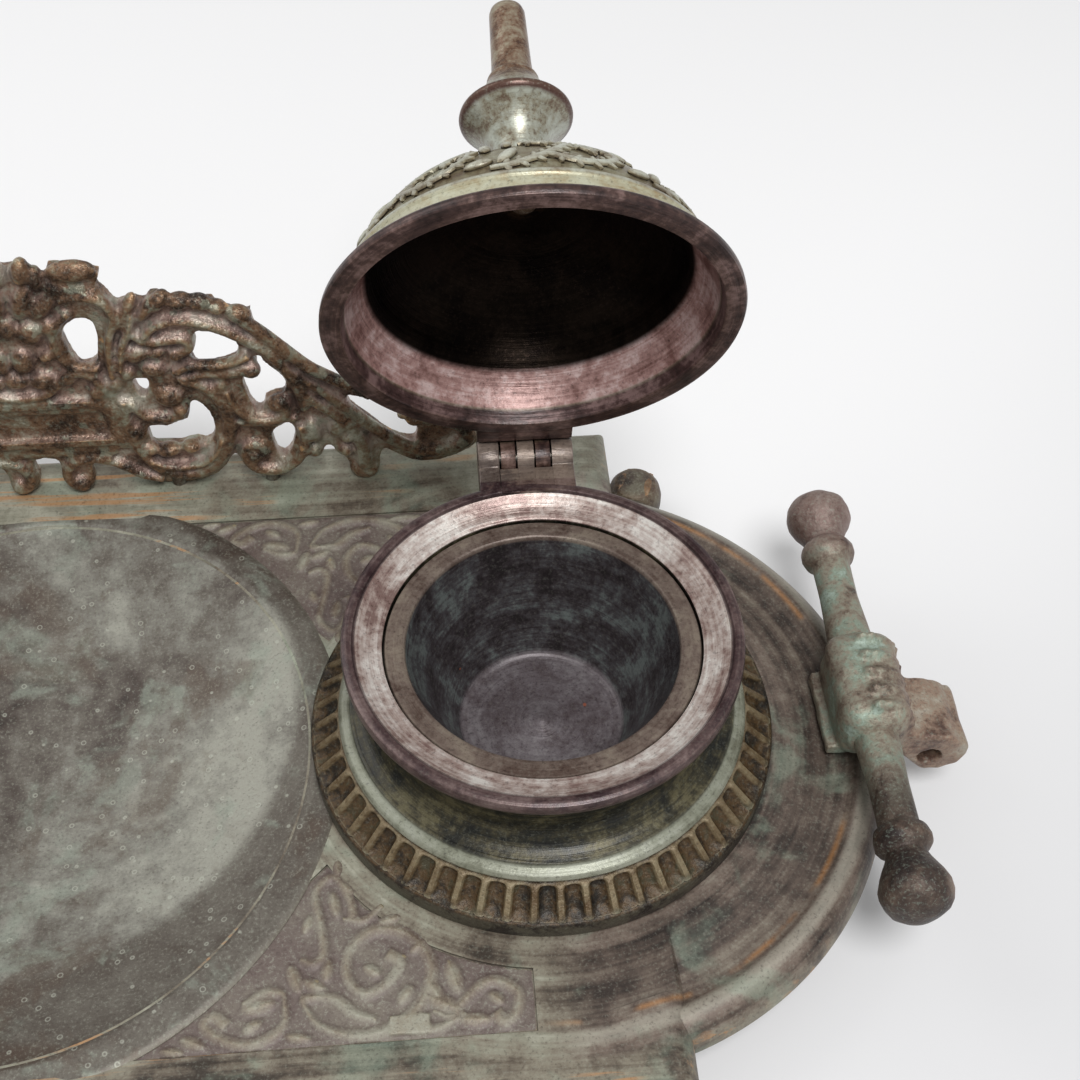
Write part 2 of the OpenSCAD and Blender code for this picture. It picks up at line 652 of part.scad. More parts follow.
// Baluster bar with a knob and a button at each end, across the tray's end
module handle_bar(side) color("cadetblue") at_end(side)
    translate([bar_x, bar_slide, bar_axis_z]) rotate([-90, 0, 0])
        for (end = [0, 1]) mirror([0, 0, end]) rotate_extrude($fn = 40)
            polygon(concat(
                [[0, 0], [bar_r, 0], [bar_r, strap_w / 2 + 2], [bar_r * 0.84, knob_y - 10.5],
                [bar_r * 1.2, knob_y - 9.8], [bar_r * 1.2, knob_y - 8.4],
                [bar_r * 0.8, knob_y - 7.6], [bar_r * 0.8, knob_y - 6.4]],
                arc([0, knob_y], knob_r, knob_r * 0.9, -60, 62, 9),
                arc([0, knob_y + knob_r * 0.8], 2.6, 2.4, 0, 90, 4)));

// Ribbed strap round the bar, screwed to the tray, ending in a scroll lug
module handle_strap(side) color("burlywood") at_end(side) difference() {
        union() {
            rotate([90, 0, 0]) linear_extrude(strap_w, center = true) {
                polygon([[pad_in, plate_z], [lobe_r - lobe_border - 2, plate_z],
                    [bar_x - 2, bar_axis_z - 4], [bar_x - 1, bar_axis_z + wrap_r - 1],
                    [bar_x - wrap_r, bar_axis_z], [pad_in + 8, plate_z + pad_t],
                    [pad_in + 1, plate_z + pad_t], [pad_in, plate_z + pad_t - 1]]);
                translate([bar_x, bar_axis_z]) circle(wrap_r, $fn = 64);
            }
            rotate([90, 0, 0]) linear_extrude(lug_w, center = true) {
                polygon([[bar_x + 1, bar_axis_z + wrap_r - 0.5],
                    [bar_x + eye_out - 1, bar_axis_z - eye_drop + eye_r + eye_wall],
                    [bar_x + eye_out + 2, bar_axis_z - eye_drop],
                    [bar_x + eye_out - 4, bar_axis_z - eye_drop - 1],
                    [bar_x + wrap_r, bar_axis_z - 5], [bar_x + 4.4, bar_axis_z - 4.4]]);
                translate([bar_x + eye_out, bar_axis_z - eye_drop])
                    circle(eye_r + eye_wall, $fn = 48);
            }
            for (i = [0:ribs - 1])
                translate([bar_x, (strap_w - 2) * (i / (ribs - 1) - 0.5), bar_axis_z])
                    rotate([90, 0, 0])
                        cylinder(r = wrap_r + rib_h, h = 1.6, center = true, $fn = 64);
        }
        translate([bar_x, 0, bar_axis_z]) rotate([90, 0, 0])
            cylinder(r = bar_r + pin_gap, h = 2 * strap_w, center = true, $fn = 40);
        translate([bar_x + eye_out, 0, bar_axis_z - eye_drop]) rotate([90, 0, 0])
            cylinder(r = eye_r, h = 2 * strap_w, center = true, $fn = 32);
        translate([0, 0, plate_z - 1]) strap_screw_places() screw_hole(pad_t + 0.4);
    }

module handle_screws(side) color("gray") at_end(side) strap_screw_places()
    translate([0, 0, foot_h - head_h]) screw(plate_t + pad_t - 0.8);

base_tray();
foot(-1, -1);  // foot_front_left
foot(1, -1);  // foot_front_right
foot(-1, 1);  // foot_back_left
foot(1, 1);  // foot_back_right
foot_screws();
scroll_panel(-1, -1);  // scroll_panel_front_left
scroll_panel(1, -1);  // scroll_panel_front_right
scroll_panel(-1, 1);  // scroll_panel_back_left
scroll_panel(1, 1);  // scroll_panel_back_right
gallery();
gallery_screws();
foot_ring(-1);  // foot_ring_left
foot_ring(1);  // foot_ring_right
well_body(-1);  // well_body_left
well_body(1);  // well_body_right
well_screws(-1);  // well_screws_left
well_screws(1);  // well_screws_right
hinge_pin(-1);  // hinge_pin_left
hinge_pin(1);  // hinge_pin_right
lid(-1);  // lid_left
lid(1);  // lid_right
finial(-1);  // finial_left
finial(1);  // finial_right
liner(-1);  // liner_left
liner(1);  // liner_right
handle_bar(-1);  // handle_bar_left
handle_bar(1);  // handle_bar_right
handle_strap(-1);  // handle_strap_left
handle_strap(1);  // handle_strap_right
handle_screws(-1);  // handle_screws_left
handle_screws(1);  // handle_screws_right
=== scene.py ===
# %% [markdown]
# # A cast bronze desk inkstand
# The stand is an old casting: a tray on four feet, two round wells with hinged
# domed lids, a shallow dish between them, a pierced gallery along the back and
# a turned bar at each end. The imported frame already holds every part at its
# real size and place, so this lesson only dresses it: each visible part is
# modelled again over its solid with finer forms and an aged finish.

import math
import bpy
import bmesh
from mathutils import Matrix, Vector, noise


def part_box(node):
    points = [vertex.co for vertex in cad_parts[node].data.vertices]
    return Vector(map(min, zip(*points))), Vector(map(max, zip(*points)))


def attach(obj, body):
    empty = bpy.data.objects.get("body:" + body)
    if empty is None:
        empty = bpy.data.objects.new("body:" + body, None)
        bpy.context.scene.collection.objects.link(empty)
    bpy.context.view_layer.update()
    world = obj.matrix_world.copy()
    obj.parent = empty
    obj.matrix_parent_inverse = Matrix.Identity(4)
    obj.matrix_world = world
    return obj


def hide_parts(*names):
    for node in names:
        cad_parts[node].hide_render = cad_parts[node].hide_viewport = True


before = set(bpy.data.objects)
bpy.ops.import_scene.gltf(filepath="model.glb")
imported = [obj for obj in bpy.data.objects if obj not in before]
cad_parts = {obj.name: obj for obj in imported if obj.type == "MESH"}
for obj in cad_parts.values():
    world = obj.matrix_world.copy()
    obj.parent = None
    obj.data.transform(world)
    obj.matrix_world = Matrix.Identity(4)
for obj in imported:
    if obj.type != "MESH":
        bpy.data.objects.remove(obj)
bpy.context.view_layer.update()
MM = 0.001


def middle(node):
    """Centre of a node's box, in millimetres."""
    low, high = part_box(node)
    return (low + high) / 2 / MM


WELL_X = middle("foot_ring_right").x
WELL_Y = middle("foot_ring_right").y
PLATE_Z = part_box("foot_ring_right")[0].z / MM
PIN = middle("hinge_pin_right")
BAR = middle("handle_bar_right")
SIDES = {"left": -1, "right": 1}
ROWS = {"front": -1, "back": 1}
print("well at", WELL_X, WELL_Y, "plate at", PLATE_Z, "pin at", tuple(PIN))

# %% [markdown]
# ## Camera
# The photograph looks down on the right half of the stand from close by. Its
# ellipses, the rims of the well, the liner and the foot ring, fix the lens and
# the camera's place. Yaw, pitch and roll give the direction back towards the
# camera, and the matrix is built from that direction and the image's up.

# %% The camera
CAMERA_AT = Vector((WELL_X - 14.34, WELL_Y - 150.76, PLATE_Z + 228.85))
YAW, PITCH, ROLL = (math.radians(a) for a in (-5.174, 49.616, 0.732))
LENS = 51.31


def camera_matrix():
    back = Vector((math.sin(YAW) * math.cos(PITCH),
                   -math.cos(YAW) * math.cos(PITCH), math.sin(PITCH)))
    right = (-back).cross(Vector((0, 0, 1))).normalized()
    up = right.cross(-back)
    turned_right = right * math.cos(ROLL) + up * math.sin(ROLL)
    turned_up = up * math.cos(ROLL) - right * math.sin(ROLL)
    turn = Matrix((turned_right, turned_up, back)).transposed().to_4x4()
    return Matrix.Translation(CAMERA_AT * MM) @ turn


camera_data = bpy.data.cameras.new("camera")
camera_data.lens = LENS
camera_data.sensor_width = 36
camera_data.clip_start = 0.01
camera = bpy.data.objects.new("camera", camera_data)
camera.matrix_world = camera_matrix()
bpy.context.scene.collection.objects.link(camera)
bpy.context.scene.camera = camera
bpy.context.scene.view_settings.view_transform = "Standard"
print("camera at", tuple(round(v, 4) for v in camera.location))

# %% [markdown]
# ## Shader words
# Aged metal needs many small masks. Writing them as Python expressions keeps
# them readable, so one small class wraps a socket and turns + - * / into Math
# nodes, and one method makes every other node. Colours written as the eye sees
# them are turned into the linear values that the shader expects, and laid one
# over another, each with its mask. Every casting has the same history: brown
# metal, a thin green and mauve film, dirt and painted shade in the recesses, and
# rubbed edges. So one method ages any colour in the same way.

# %% Shader words
class Number:
    """A value in a shader; arithmetic on it adds the Math nodes."""

    def __init__(self, finish, socket):
        self.finish, self.socket = finish, socket

    def maths(self, operation, left, right=0.0):
        node = self.finish.node("ShaderNodeMath", {"operation": operation}, {0: left, 1: right})
        return Number(self.finish, node.outputs[0])

    def __add__(self, other):
        return self.maths("ADD", self, other)

    def __sub__(self, other):
        return self.maths("SUBTRACT", self, other)

    def __rsub__(self, other):
        return self.maths("SUBTRACT", other, self)

    def __mul__(self, other):
        return self.maths("MULTIPLY", self, other)

    def __truediv__(self, other):
        return self.maths("DIVIDE", self, other)

    def __pow__(self, other):
        return self.maths("POWER", self, other)

    def __abs__(self):
        return self.maths("ABSOLUTE", self)

    __radd__, __rmul__ = __add__, __mul__

    def between(self, low, high):
        """0 below low, 1 above high, smooth between."""
        node = self.finish.node("ShaderNodeMapRange", {"interpolation_type": "SMOOTHSTEP"},
                                {"Value": self, "From Min": low, "From Max": high})
        return Number(self.finish, node.outputs["Result"])


def seen(red, green, blue):
    """A colour as seen on screen, 0 to 255, as linear values."""
    linear = [(c / 255 / 12.92) if c < 10 else ((c / 255 + 0.055) / 1.055) ** 2.4
              for c in (red, green, blue)]
    return (*linear, 1.0)


print("mid grey on the screen is", round(seen(128, 128, 128)[0], 3), "to the shader")

# %% A finish
class Finish:
    """One material and the few words that its masks are written with."""

    def __init__(self, name):
        self.material = bpy.data.materials.new(name)
        self.material.use_nodes = True
        self.tree = self.material.node_tree
        self.tree.nodes.clear()
        self.place = self.node("ShaderNodeTexCoord").outputs["Object"]

    def node(self, kind, settings=None, sockets=None):
        node = self.tree.nodes.new(kind)
        for key, value in (settings or {}).items():
            if key == "stops":
                ramp = node.color_ramp
                while len(ramp.elements) < len(value):
                    ramp.elements.new(0.5)
                for element, (at, colour) in zip(ramp.elements, value):
                    element.position, element.color = at, colour
            else:
                setattr(node, key, value)
        for key, value in (sockets or {}).items():
            value = value.socket if isinstance(value, Number) else value
            if isinstance(value, bpy.types.NodeSocket):
                self.tree.links.new(value, node.inputs[key])
            else:
                node.inputs[key].default_value = value
        return node

    def cloud(self, size_mm, detail=4.0, rough=0.6, warp=0.0, place=None):
        """Noise whose patches are about size_mm across."""
        node = self.node("ShaderNodeTexNoise", {}, {
            "Vector": place or self.place, "Scale": 1 / (size_mm * MM), "Detail": detail,
            "Roughness": rough, "Distortion": warp})
        return Number(self, node.outputs["Fac"])

    def mix(self, amount, low, high):
        """Colour from low to high by amount; sockets 6 and 7 are A and B for colours."""
        node = self.node("ShaderNodeMix", {"data_type": "RGBA"},
                         {"Factor": amount, 6: low, 7: high})
        return node.outputs[2]

    def tones(self, amount, colours, low=0.32, high=0.68):
        """Even colour stops between low and high."""
        step = (high - low) / (len(colours) - 1)
        stops = [(low + i * step, seen(*c)) for i, c in enumerate(colours)]
        return self.node("ShaderNodeValToRGB", {"stops": stops}, {"Fac": amount}).outputs["Color"]

    def start(self, coat, colours, low=0.32, high=0.68):
        """First tones of the metal, which follow its coat of patina."""
        self.coat, self.colour = coat, self.tones(coat, colours, low, high)

    def over(self, amount, layer):
        """Lay one colour, or tones that follow the coat, over the colour so far."""
        if isinstance(layer, list):
            layer = self.tones(self.coat, layer)
        elif isinstance(layer, tuple):
            layer = seen(*layer)
        self.colour = self.mix(amount, self.colour, layer)

    def crevice(self, reach_mm):
        """1 in corners and recesses, 0 on open surfaces."""
        node = self.node("ShaderNodeAmbientOcclusion", {"samples": 8, "only_local": True},
                         {"Distance": reach_mm * MM})
        return 1 - Number(self, node.outputs["AO"])

    def worn(self):
        """1 on outward edges and high spots, where Pointiness is well over its flat 0.5."""
        node = self.node("ShaderNodeNewGeometry")
        return Number(self, node.outputs["Pointiness"]).between(0.52, 0.6)

    def parts(self, vector):
        """The three coordinates of a vector."""
        node = self.node("ShaderNodeSeparateXYZ", {}, {0: vector})
        return [Number(self, socket) for socket in node.outputs]

    def place_mm(self):
        """X, Y and Z of the shaded point, in millimetres."""
        return [value * (1 / MM) for value in self.parts(self.place)]

    def vector(self, x, y, z):
        return self.node("ShaderNodeCombineXYZ", {}, {0: x, 1: y, 2: z}).outputs[0]

    def about_well(self, tilt=0.0, shift=0.0):
        """Radius, height over the tray and position, in mm, about the nearer well's axis.

        A tilt turns an open lid back shut about its pin first, and a shift moves both
        axes along X.
        """
        x, y, z = self.place_mm()
        x = abs(x) - WELL_X - x.maths("SIGN", x) * shift
        y, z = y - PIN.y, z - PIN.z
        flat_y = y * math.cos(tilt) - z * math.sin(tilt) + (PIN.y - WELL_Y)
        flat_z = y * math.sin(tilt) + z * math.cos(tilt) + (PIN.z - PLATE_Z)
        return (x * x + flat_y * flat_y) ** 0.5, flat_z, x, flat_y

    def rings(self, size_mm, radius, height, x, y):
        """Fine rings left by turning: noise over radius and height, drawn out round."""
        place = self.vector(radius * MM, (x + y) * (MM * 0.03), height * MM)
        return self.cloud(size_mm, 3.0, 0.7, place=place)

    def streaks(self, size_mm):
        """Brushed streaks along X, where the noise is drawn out twenty times."""
        x, y, z = self.parts(self.place)
        return self.cloud(size_mm, 4.0, 0.65, place=self.vector(x * (1 / 20), y, z))

    def ring_spots(self, spacing_mm, share):
        """Tiny pale rings with a darker middle, left by drops of acid."""
        node = self.node("ShaderNodeTexVoronoi", {}, {
            "Vector": self.place, "Scale": 1 / (spacing_mm * MM)})
        ring = 1 - abs(Number(self, node.outputs["Distance"]) - 0.17) / 0.07
        pick = self.node("ShaderNodeSeparateColor", {}, {0: node.outputs["Color"]})
        chosen = Number(self, pick.outputs[0]).between(1 - share, 1.02 - share)
        return ring.between(0.0, 1.0) * chosen

    def film(self, patch_mm, marks=None, share=0.3):
        """How far the patina has gone, about 0 to 1: patches, mottle and tool marks."""
        amount = self.cloud(patch_mm, 5.0, 0.58, 0.5)
        amount = amount + (self.cloud(patch_mm * 0.16, 4.0, 0.65) - 0.5) * 0.5
        if marks:
            amount = amount + (marks - 0.5) * share
        return amount

    def age(self, recess, rubbed, pale=(178, 182, 166), pale_share=0.25, reach=2.0,
            recess_share=1.0, rub_share=0.5, metal=0.3, rough=0.45, depth=0.25, grain_mm=0.8,
            marks=None):
        """Add flecks, dirt and painted shade in recesses, and rubbed edges to the colour, and end
        in a Principled shader.

        Reach, depth and grain_mm are millimetres: of a recess, of the bumps and of
        the cast grain. The shares say how strongly flecks, dirt with its painted shade, and
        rubbing show.
        """
        fine = self.cloud(0.55, 3.0, 0.7)
        grain = self.cloud(grain_mm, 3.0)
        self.over(fine.between(0.52, 0.68) * pale_share, pale)
        self.over((1 - fine).between(0.54, 0.7) * 0.45, recess)
        # Painted shade: the crevice mask darkens recesses with the recess colour, dirt and shade
        # in one.
        deep = (self.crevice(reach) * recess_share * (0.7 + fine * 0.6)).between(0.06, 0.8)
        self.over(deep, recess)
        self.over(self.worn() * self.coat.between(0.36, 0.56) * rub_share, rubbed)
        relief = grain * 0.6 + fine * 0.4
        if marks:
            relief = relief * 0.4 + marks * 0.6
        dullness = rough + (fine - 0.5) * 0.25 + (self.coat - 0.5) * 0.25 + deep * 0.2
        bump = self.node("ShaderNodeBump", {}, {
            "Strength": 0.6, "Distance": depth * MM, "Height": relief})
        shader = self.node("ShaderNodeBsdfPrincipled", {}, {
            "Base Color": self.colour, "Metallic": (1 - deep) * metal, "Roughness": dullness,
            "Normal": bump.outputs[0]})
        self.node("ShaderNodeOutputMaterial", {}, {"Surface": shader.outputs[0]})
        print(self.material.name, len(self.tree.nodes), "nodes")
        return self.material

# %% [markdown]
# ## Bronze for the tray
# The tray has a thin grey-green film over mauve-brown metal, brushed along the
# borders and round the wells, with a few golden rubbed streaks. The dish is
# mottled, with tiny pale rings where drops have dried. The panels are mauver,
# and olive where the scrolls are rubbed. Noise drawn out along X, or round the
# nearer well, gives the brush marks, so they follow the tool without an image.
# Light and shade are painted in too: the tray is lighter towards the back, each
# lobe's cove is painted dark as shade and its roll pale as a highlight, and the
# dish is painted lighter towards the right and front and shaded near its wall.

# %% Tray, dish and panel finishes
GOLD, DIRT_AND_SHADE = (176, 124, 72), (46, 37, 31)
LOBE_RIM = 60, 62  # radii between which a lobe's round marks give way to the border's
NOSE = 54.2, 54.9  # the narrow moulding of the lobe that is rubbed to gold


def zone(value, low, high, soft=0.3):
    """1 between low and high, with soft ends."""
    return value.between(low - soft, low + soft) * (1 - value.between(high - soft, high + soft))


bronze = Finish("tray_patina_and_shading")
radius, height, x, y = about = bronze.about_well()
on_lobe = 1 - radius.between(*LOBE_RIM)
straight = bronze.streaks(2.6)
marks = straight * (1 - on_lobe) + bronze.rings(2.6, *about) * on_lobe
# Painted light: the film, and so the tray's tone, grows paler towards the back.
film = bronze.film(24, marks, 0.8) + (y + 5) * 0.0015
bronze.start(film, [(46, 38, 34), (84, 72, 64), (112, 98, 88), (132, 122, 110),
                    (160, 154, 140)], 0.24, 0.76)
# Painted shade and highlight: each lobe's cove is darkened and its roll lightened.
bronze.over(zone(radius, 45, 54.6, 2.0) * 0.6, [(40, 32, 28), (74, 62, 54), (104, 92, 80)])
bronze.over(zone(radius, 56, 58.4, 0.6) * 0.5, (170, 166, 152))
golden = bronze.cloud(12, 3.0).between(0.46, 0.6) * 0.6
bronze.over(zone(radius, *NOSE, 0.5) * golden, GOLD)
lobe_colour_and_shading = bronze.colour
bronze.start(film, [(58, 50, 42), (98, 88, 76), (128, 121, 106), (142, 140, 124),
                    (168, 166, 150)], 0.24, 0.76)
bronze.over(on_lobe * x.between(-6, 6), lobe_colour_and_shading)
bronze.over(bronze.cloud(14, warp=0.4).between(0.52, 0.66) * 0.4, (138, 154, 136))
golden = straight.between(0.54, 0.62) * bronze.cloud(34, 2.0).between(0.47, 0.56)
bronze.over(golden * (1 - on_lobe) * 0.7, GOLD)
tray_finish = bronze.age(DIRT_AND_SHADE, GOLD, rough=0.5, marks=marks, pale_share=0.15, depth=0.12,
                         rub_share=0.0, metal=0.2)

bronze = Finish("dish_patina_and_shading")
x, y, z = bronze.place_mm()
# Painted light: the bowl's tones are lighter towards the right and the front.
bronze.start(bronze.film(26) + x * 0.0025 - y * 0.001, [
    (48, 40, 36), (76, 67, 61), (104, 98, 90), (132, 130, 121), (158, 157, 146)], 0.26, 0.76)
# Painted shade: a darker ring near the bowl's wall.
bronze.over(((x * x + y * y) ** 0.5).between(47, 50.5) * 0.7, (70, 58, 50))
bronze.over(bronze.cloud(12, 4.0, 0.65, 0.5).between(0.54, 0.68) * 0.45, (150, 160, 146))
bronze.over(bronze.cloud(17, 4.0, 0.65, 0.4).between(0.55, 0.68) * 0.5, (84, 66, 54))
bronze.over(bronze.ring_spots(2.4, 0.42) * 0.5, (190, 192, 178))
dish_finish = bronze.age((64, 55, 48), (186, 180, 160), reach=1.4, depth=0.2, rub_share=0.2)

bronze = Finish("panel_patina")
x, y, z = bronze.place_mm()
bronze.start(bronze.film(14), [(88, 76, 72), (112, 100, 93), (122, 114, 104), (136, 130, 116)])
raised = (z - PLATE_Z).between(-0.2, 0.45)
bronze.over((1 - raised) * 0.5, (92, 78, 74))
bronze.over(raised * 0.6, [(112, 96, 74), (150, 140, 116), (166, 166, 150)])
panel_finish = bronze.age((66, 54, 50), (160, 146, 112), reach=1.3, rub_share=0.6, rough=0.52,
                          metal=0.15)

# %% [markdown]
# ## Bronze for the upright parts
# The gallery is darker, mauve-brown with green dust, nearly black in its
# hollows from dirt and painted shade, and gold on its edges. The handles and
# feet are rough castings with speckled verdigris, and the near end of each
# handle is painted darker as shade. On the foot rings the flutes are golden
# brown with dark pits, the ridges and the bead pale green, and the plinth nearly
# black. Hollows and places sort these colours, so nothing has to be painted by hand.

# %% Gallery, handle, foot and ring finishes
bronze = Finish("gallery_patina")
film = bronze.film(9)
bronze.start(film, [(48, 36, 29), (86, 65, 50), (126, 96, 72), (136, 126, 104), (164, 164, 146)])
sheltered = (bronze.crevice(4.0) + (film - 0.5) * 0.6).between(0.08, 0.4)
bronze.over(sheltered * 0.8, [(148, 118, 108), (182, 156, 147), (200, 186, 174)])
bronze.over(bronze.cloud(3.5, 3.0).between(0.56, 0.64) * 0.6, (146, 150, 132))
gallery_finish = bronze.age((26, 20, 16), (206, 166, 122), reach=1.6, recess_share=1.25,
                            rub_share=0.9, rough=0.32, depth=0.6, grain_mm=1.1, metal=0.45)

bronze = Finish("handle_patina_and_shading")
x, y, z = bronze.place_mm()
bronze.start(bronze.film(8), [(80, 66, 56), (124, 110, 96), (142, 136, 120), (136, 148, 132),
                              (160, 176, 164)], 0.3, 0.7)
# Painted shade: the near end of each bar and block is much darker.
bronze.over((1 - y.between(-38, -22)) * 0.95, [(36, 26, 24), (60, 46, 40), (94, 76, 66)])
bronze.over(abs(x).between(151, 156) * 0.7, [(92, 66, 56), (152, 122, 104), (172, 150, 134)])
bronze.over(y.between(16, 22) * 0.75, [(84, 58, 56), (140, 108, 104)])
handle_finish = bronze.age((50, 40, 34), (158, 124, 98), pale=(150, 164, 150), pale_share=0.3,
                           rough=0.5, depth=0.5, grain_mm=1.0, rub_share=0.3)

bronze = Finish("foot_patina")
bronze.start(bronze.film(8), [(56, 48, 42), (84, 74, 66), (110, 106, 92)])
foot_finish = bronze.age((36, 30, 26), GOLD, rough=0.5, depth=0.4)


def slope_radius(height):
    """Radius of a foot ring's slope at a height over the tray, as a number or in a shader."""
    return 39.9 - (height - 3.9) * 1.05


bronze = Finish("foot_ring_patina")
radius, height, x, y = bronze.about_well()
bronze.start(bronze.film(6), [(24, 19, 13), (48, 37, 23), (80, 60, 35), (66, 60, 41)])
on_ridge = (radius - slope_radius(height)).between(-0.9, -0.2)
bronze.over(on_ridge * height.between(4, 5) * 0.75, [(100, 78, 50), (142, 128, 100)])
bronze.over((1 - height.between(3.1, 3.7)) * 0.92, (36, 29, 26))
ring_finish = bronze.age((28, 22, 16), (176, 172, 146), reach=1.6, pale_share=0.1,
                         rub_share=0.35, rough=0.46, depth=0.4)

# %% [markdown]
# ## Bronze for the wells and lids
# These are turned, so their tones follow zones: a pale pinkish face inside a
# dark rim, an olive neck darkened as painted shade under the rim, a dark cup
# with a mauve floor, a dome painted black-brown inside as shade, and a pale
# scrolled one outside. Each zone is a range of radius or height about the
# well's axis. For the open lids that axis is tilted back.

# %% Well and cup finishes
RIM_TOP, LUG_Y = (24.9, 25.3), (33.2, 33.8)  # heights of the rim, and how far back its lug starts
bronze = Finish("well_patina_and_shading")
radius, height, x, y = about = bronze.about_well()
marks = bronze.rings(0.7, *about)
# Base tones: the neck's olive, made very dark as painted shade under the rim.
bronze.start(bronze.film(9, marks, 0.5), [(13, 14, 11), (27, 27, 20), (54, 50, 34), (88, 82, 58)])
bronze.over(height.between(*RIM_TOP), [(54, 38, 40), (82, 64, 64), (112, 94, 92)])
bronze.over(height.between(25.1, 25.3) * (1 - radius.between(30.7, 31)),
            [(128, 104, 98), (166, 148, 140), (194, 182, 175), (218, 213, 206)])
bronze.over(y.between(*LUG_Y), [(88, 76, 70), (128, 114, 106)])
bronze.over(zone(height, 7.8, 10.2) * radius.between(31.5, 33),
            [(104, 104, 88), (134, 136, 120), (150, 152, 138)])
well_finish = bronze.age((34, 28, 26), (168, 142, 110), reach=1.8, pale_share=0.08,
                         rub_share=0.12, rough=0.36, marks=marks)

bronze = Finish("cup_patina")
radius, height, x, y = about = bronze.about_well()
marks = bronze.rings(0.8, *about)
bronze.start(bronze.film(8, marks, 0.4), [(38, 33, 34), (54, 48, 50), (72, 70, 72),
                                          (98, 104, 102)])
bronze.over(1 - height.between(2.6, 3.6), [(78, 68, 70), (98, 90, 93), (118, 112, 114)])
bronze.over(height.between(23.9, 24.4), [(84, 68, 60), (108, 94, 86), (126, 114, 102)])
bronze.over(bronze.cloud(3.0, 1.0, 0.3).between(0.8, 0.83) * 0.8, (150, 84, 60))
cup_finish = bronze.age((24, 20, 20), (140, 120, 92), reach=1.6, pale_share=0.08,
                        rub_share=0.1, rough=0.42, marks=marks)

# %% Lid and finial finishes
OPEN, LID_SIDE = math.radians(75), 0.8
DOME = 30.2, 25.2, 29.3  # half width, half height and base height of the dome
WALL = 36.2, 37.2  # heights between which the mauve wall inside a lid gives way to near-black painted shade

bronze = Finish("lid_patina")
radius, height, x, y = about = bronze.about_well(OPEN, LID_SIDE)
marks = bronze.rings(0.7, *about)
film = bronze.film(7, marks, 0.4)
across, rise = radius * (1 / DOME[0]), (height - DOME[2]) * (1 / DOME[1])
shell = (across * across + rise * rise) ** 0.5
outside = (shell - (0.982 - height.between(36.5, 37.5) * 0.024)).between(0, 0.006)
# Inside: near-black painted shade in the dome, over a mauve wall lower down.
bronze.start(film, [(12, 9, 8), (19, 15, 12), (28, 22, 18)])
bronze.over(1 - height.between(*WALL), [(112, 78, 72), (160, 126, 120), (196, 172, 168)])
inside_colour_and_shade = bronze.colour
bronze.start(film, [(92, 76, 56), (126, 118, 94), (154, 154, 134)])
bronze.over(shell.between(1.002, 1.02), [(156, 148, 130), (190, 192, 178), (206, 212, 200)])
bronze.over(zone(height, 31.2, 35.4), [(158, 140, 106), (178, 174, 148), (190, 190, 168)])
bronze.over(1 - outside, inside_colour_and_shade)
bronze.over((1 - height.between(30.9, 31.3)) * radius.between(29.5, 29.9),
            [(42, 28, 26), (70, 50, 48), (122, 98, 95)])
lid_finish = bronze.age((38, 30, 26), (170, 140, 100), reach=1.2, recess_share=0.8,
                        rub_share=0.12, rough=0.36, marks=marks, pale_share=0.0,
                        metal=0.25 + (1 - outside) * height.between(*WALL) * 0.75)

bronze = Finish("finial_patina")
radius, height, x, y = about = bronze.about_well(OPEN, LID_SIDE)
marks = bronze.rings(0.7, *about)
bronze.start(bronze.film(5, marks, 0.3), [(106, 88, 72), (140, 134, 116), (164, 165, 152),
                                          (184, 188, 176)])
bronze.over(height.between(72, 78) * 0.9, [(70, 44, 32), (114, 82, 60), (148, 134, 112)])
bronze.over(radius.between(8.6, 9.3), (84, 58, 50))
bronze.over(1 - height.between(53.6, 54.2), (30, 22, 18))
finial_finish = bronze.age((70, 52, 44), (170, 140, 104), reach=1.2, rough=0.3, marks=marks,
                           metal=0.35, depth=0.15, rub_share=0.25)

# %% [markdown]
# ## Workshop helpers
# Pieces are modelled in millimetres round a handy origin and scaled once at the
# end. A turned part is an outline spun about its axis. A scroll is an oval swept
# along a smooth path. Cast parts are several such forms fused into one skin with
# a voxel remesh, which gives the soft joins that real castings have.

# %% Turning and sweeping
def verts_of(made):
    """The vertices in what an operator made."""
    return [part for part in made["geom"] if isinstance(part, bmesh.types.BMVert)]


def outward(bm):
    """Turn the faces of closed forms outwards."""
    bmesh.ops.recalc_face_normals(bm, faces=bm.faces)
    return bm


def moved(bm, by):
    bmesh.ops.translate(bm, vec=by, verts=bm.verts)
    return bm


def bevelled(bm, edges, offset, segments, clamp=True):
    bmesh.ops.bevel(bm, geom=edges, offset=offset, segments=segments, profile=0.5,
                    affect="EDGES", material=-1, clamp_overlap=clamp)


def flow(points, steps=5):
    """Smooth path through the points (Catmull-Rom)."""
    pts = [Vector(p).to_3d() for p in points]
    pts = [2 * pts[0] - pts[1]] + pts + [2 * pts[-1] - pts[-2]]
    path = []
    for a, b, c, d in zip(pts, pts[1:], pts[2:], pts[3:]):
        for i in range(steps):
            t = i / steps
            path.append(0.5 * (2 * b + (c - a) * t + (2 * a - 5 * b + 4 * c - d) * t * t
                               + (3 * b - a - 3 * c + d) * t ** 3))
    return path + [pts[-2]]


def spun(bm, outline, steps=160):
    """Spin a closed outline of (radius, height) points about Z."""
    verts = [bm.verts.new((r, 0, z)) for r, z in outline]
    edges = [bm.edges.new((a, b)) for a, b in zip(verts, verts[1:] + verts[:1])
             if not (a.co.x < 1e-6 and b.co.x < 1e-6)]
    bmesh.ops.spin(bm, geom=verts + edges, cent=(0, 0, 0), axis=(0, 0, 1),
                   angle=math.tau, steps=steps, use_merge=True)
    bmesh.ops.remove_doubles(bm, verts=bm.verts, dist=0.002)
    outward(bm)


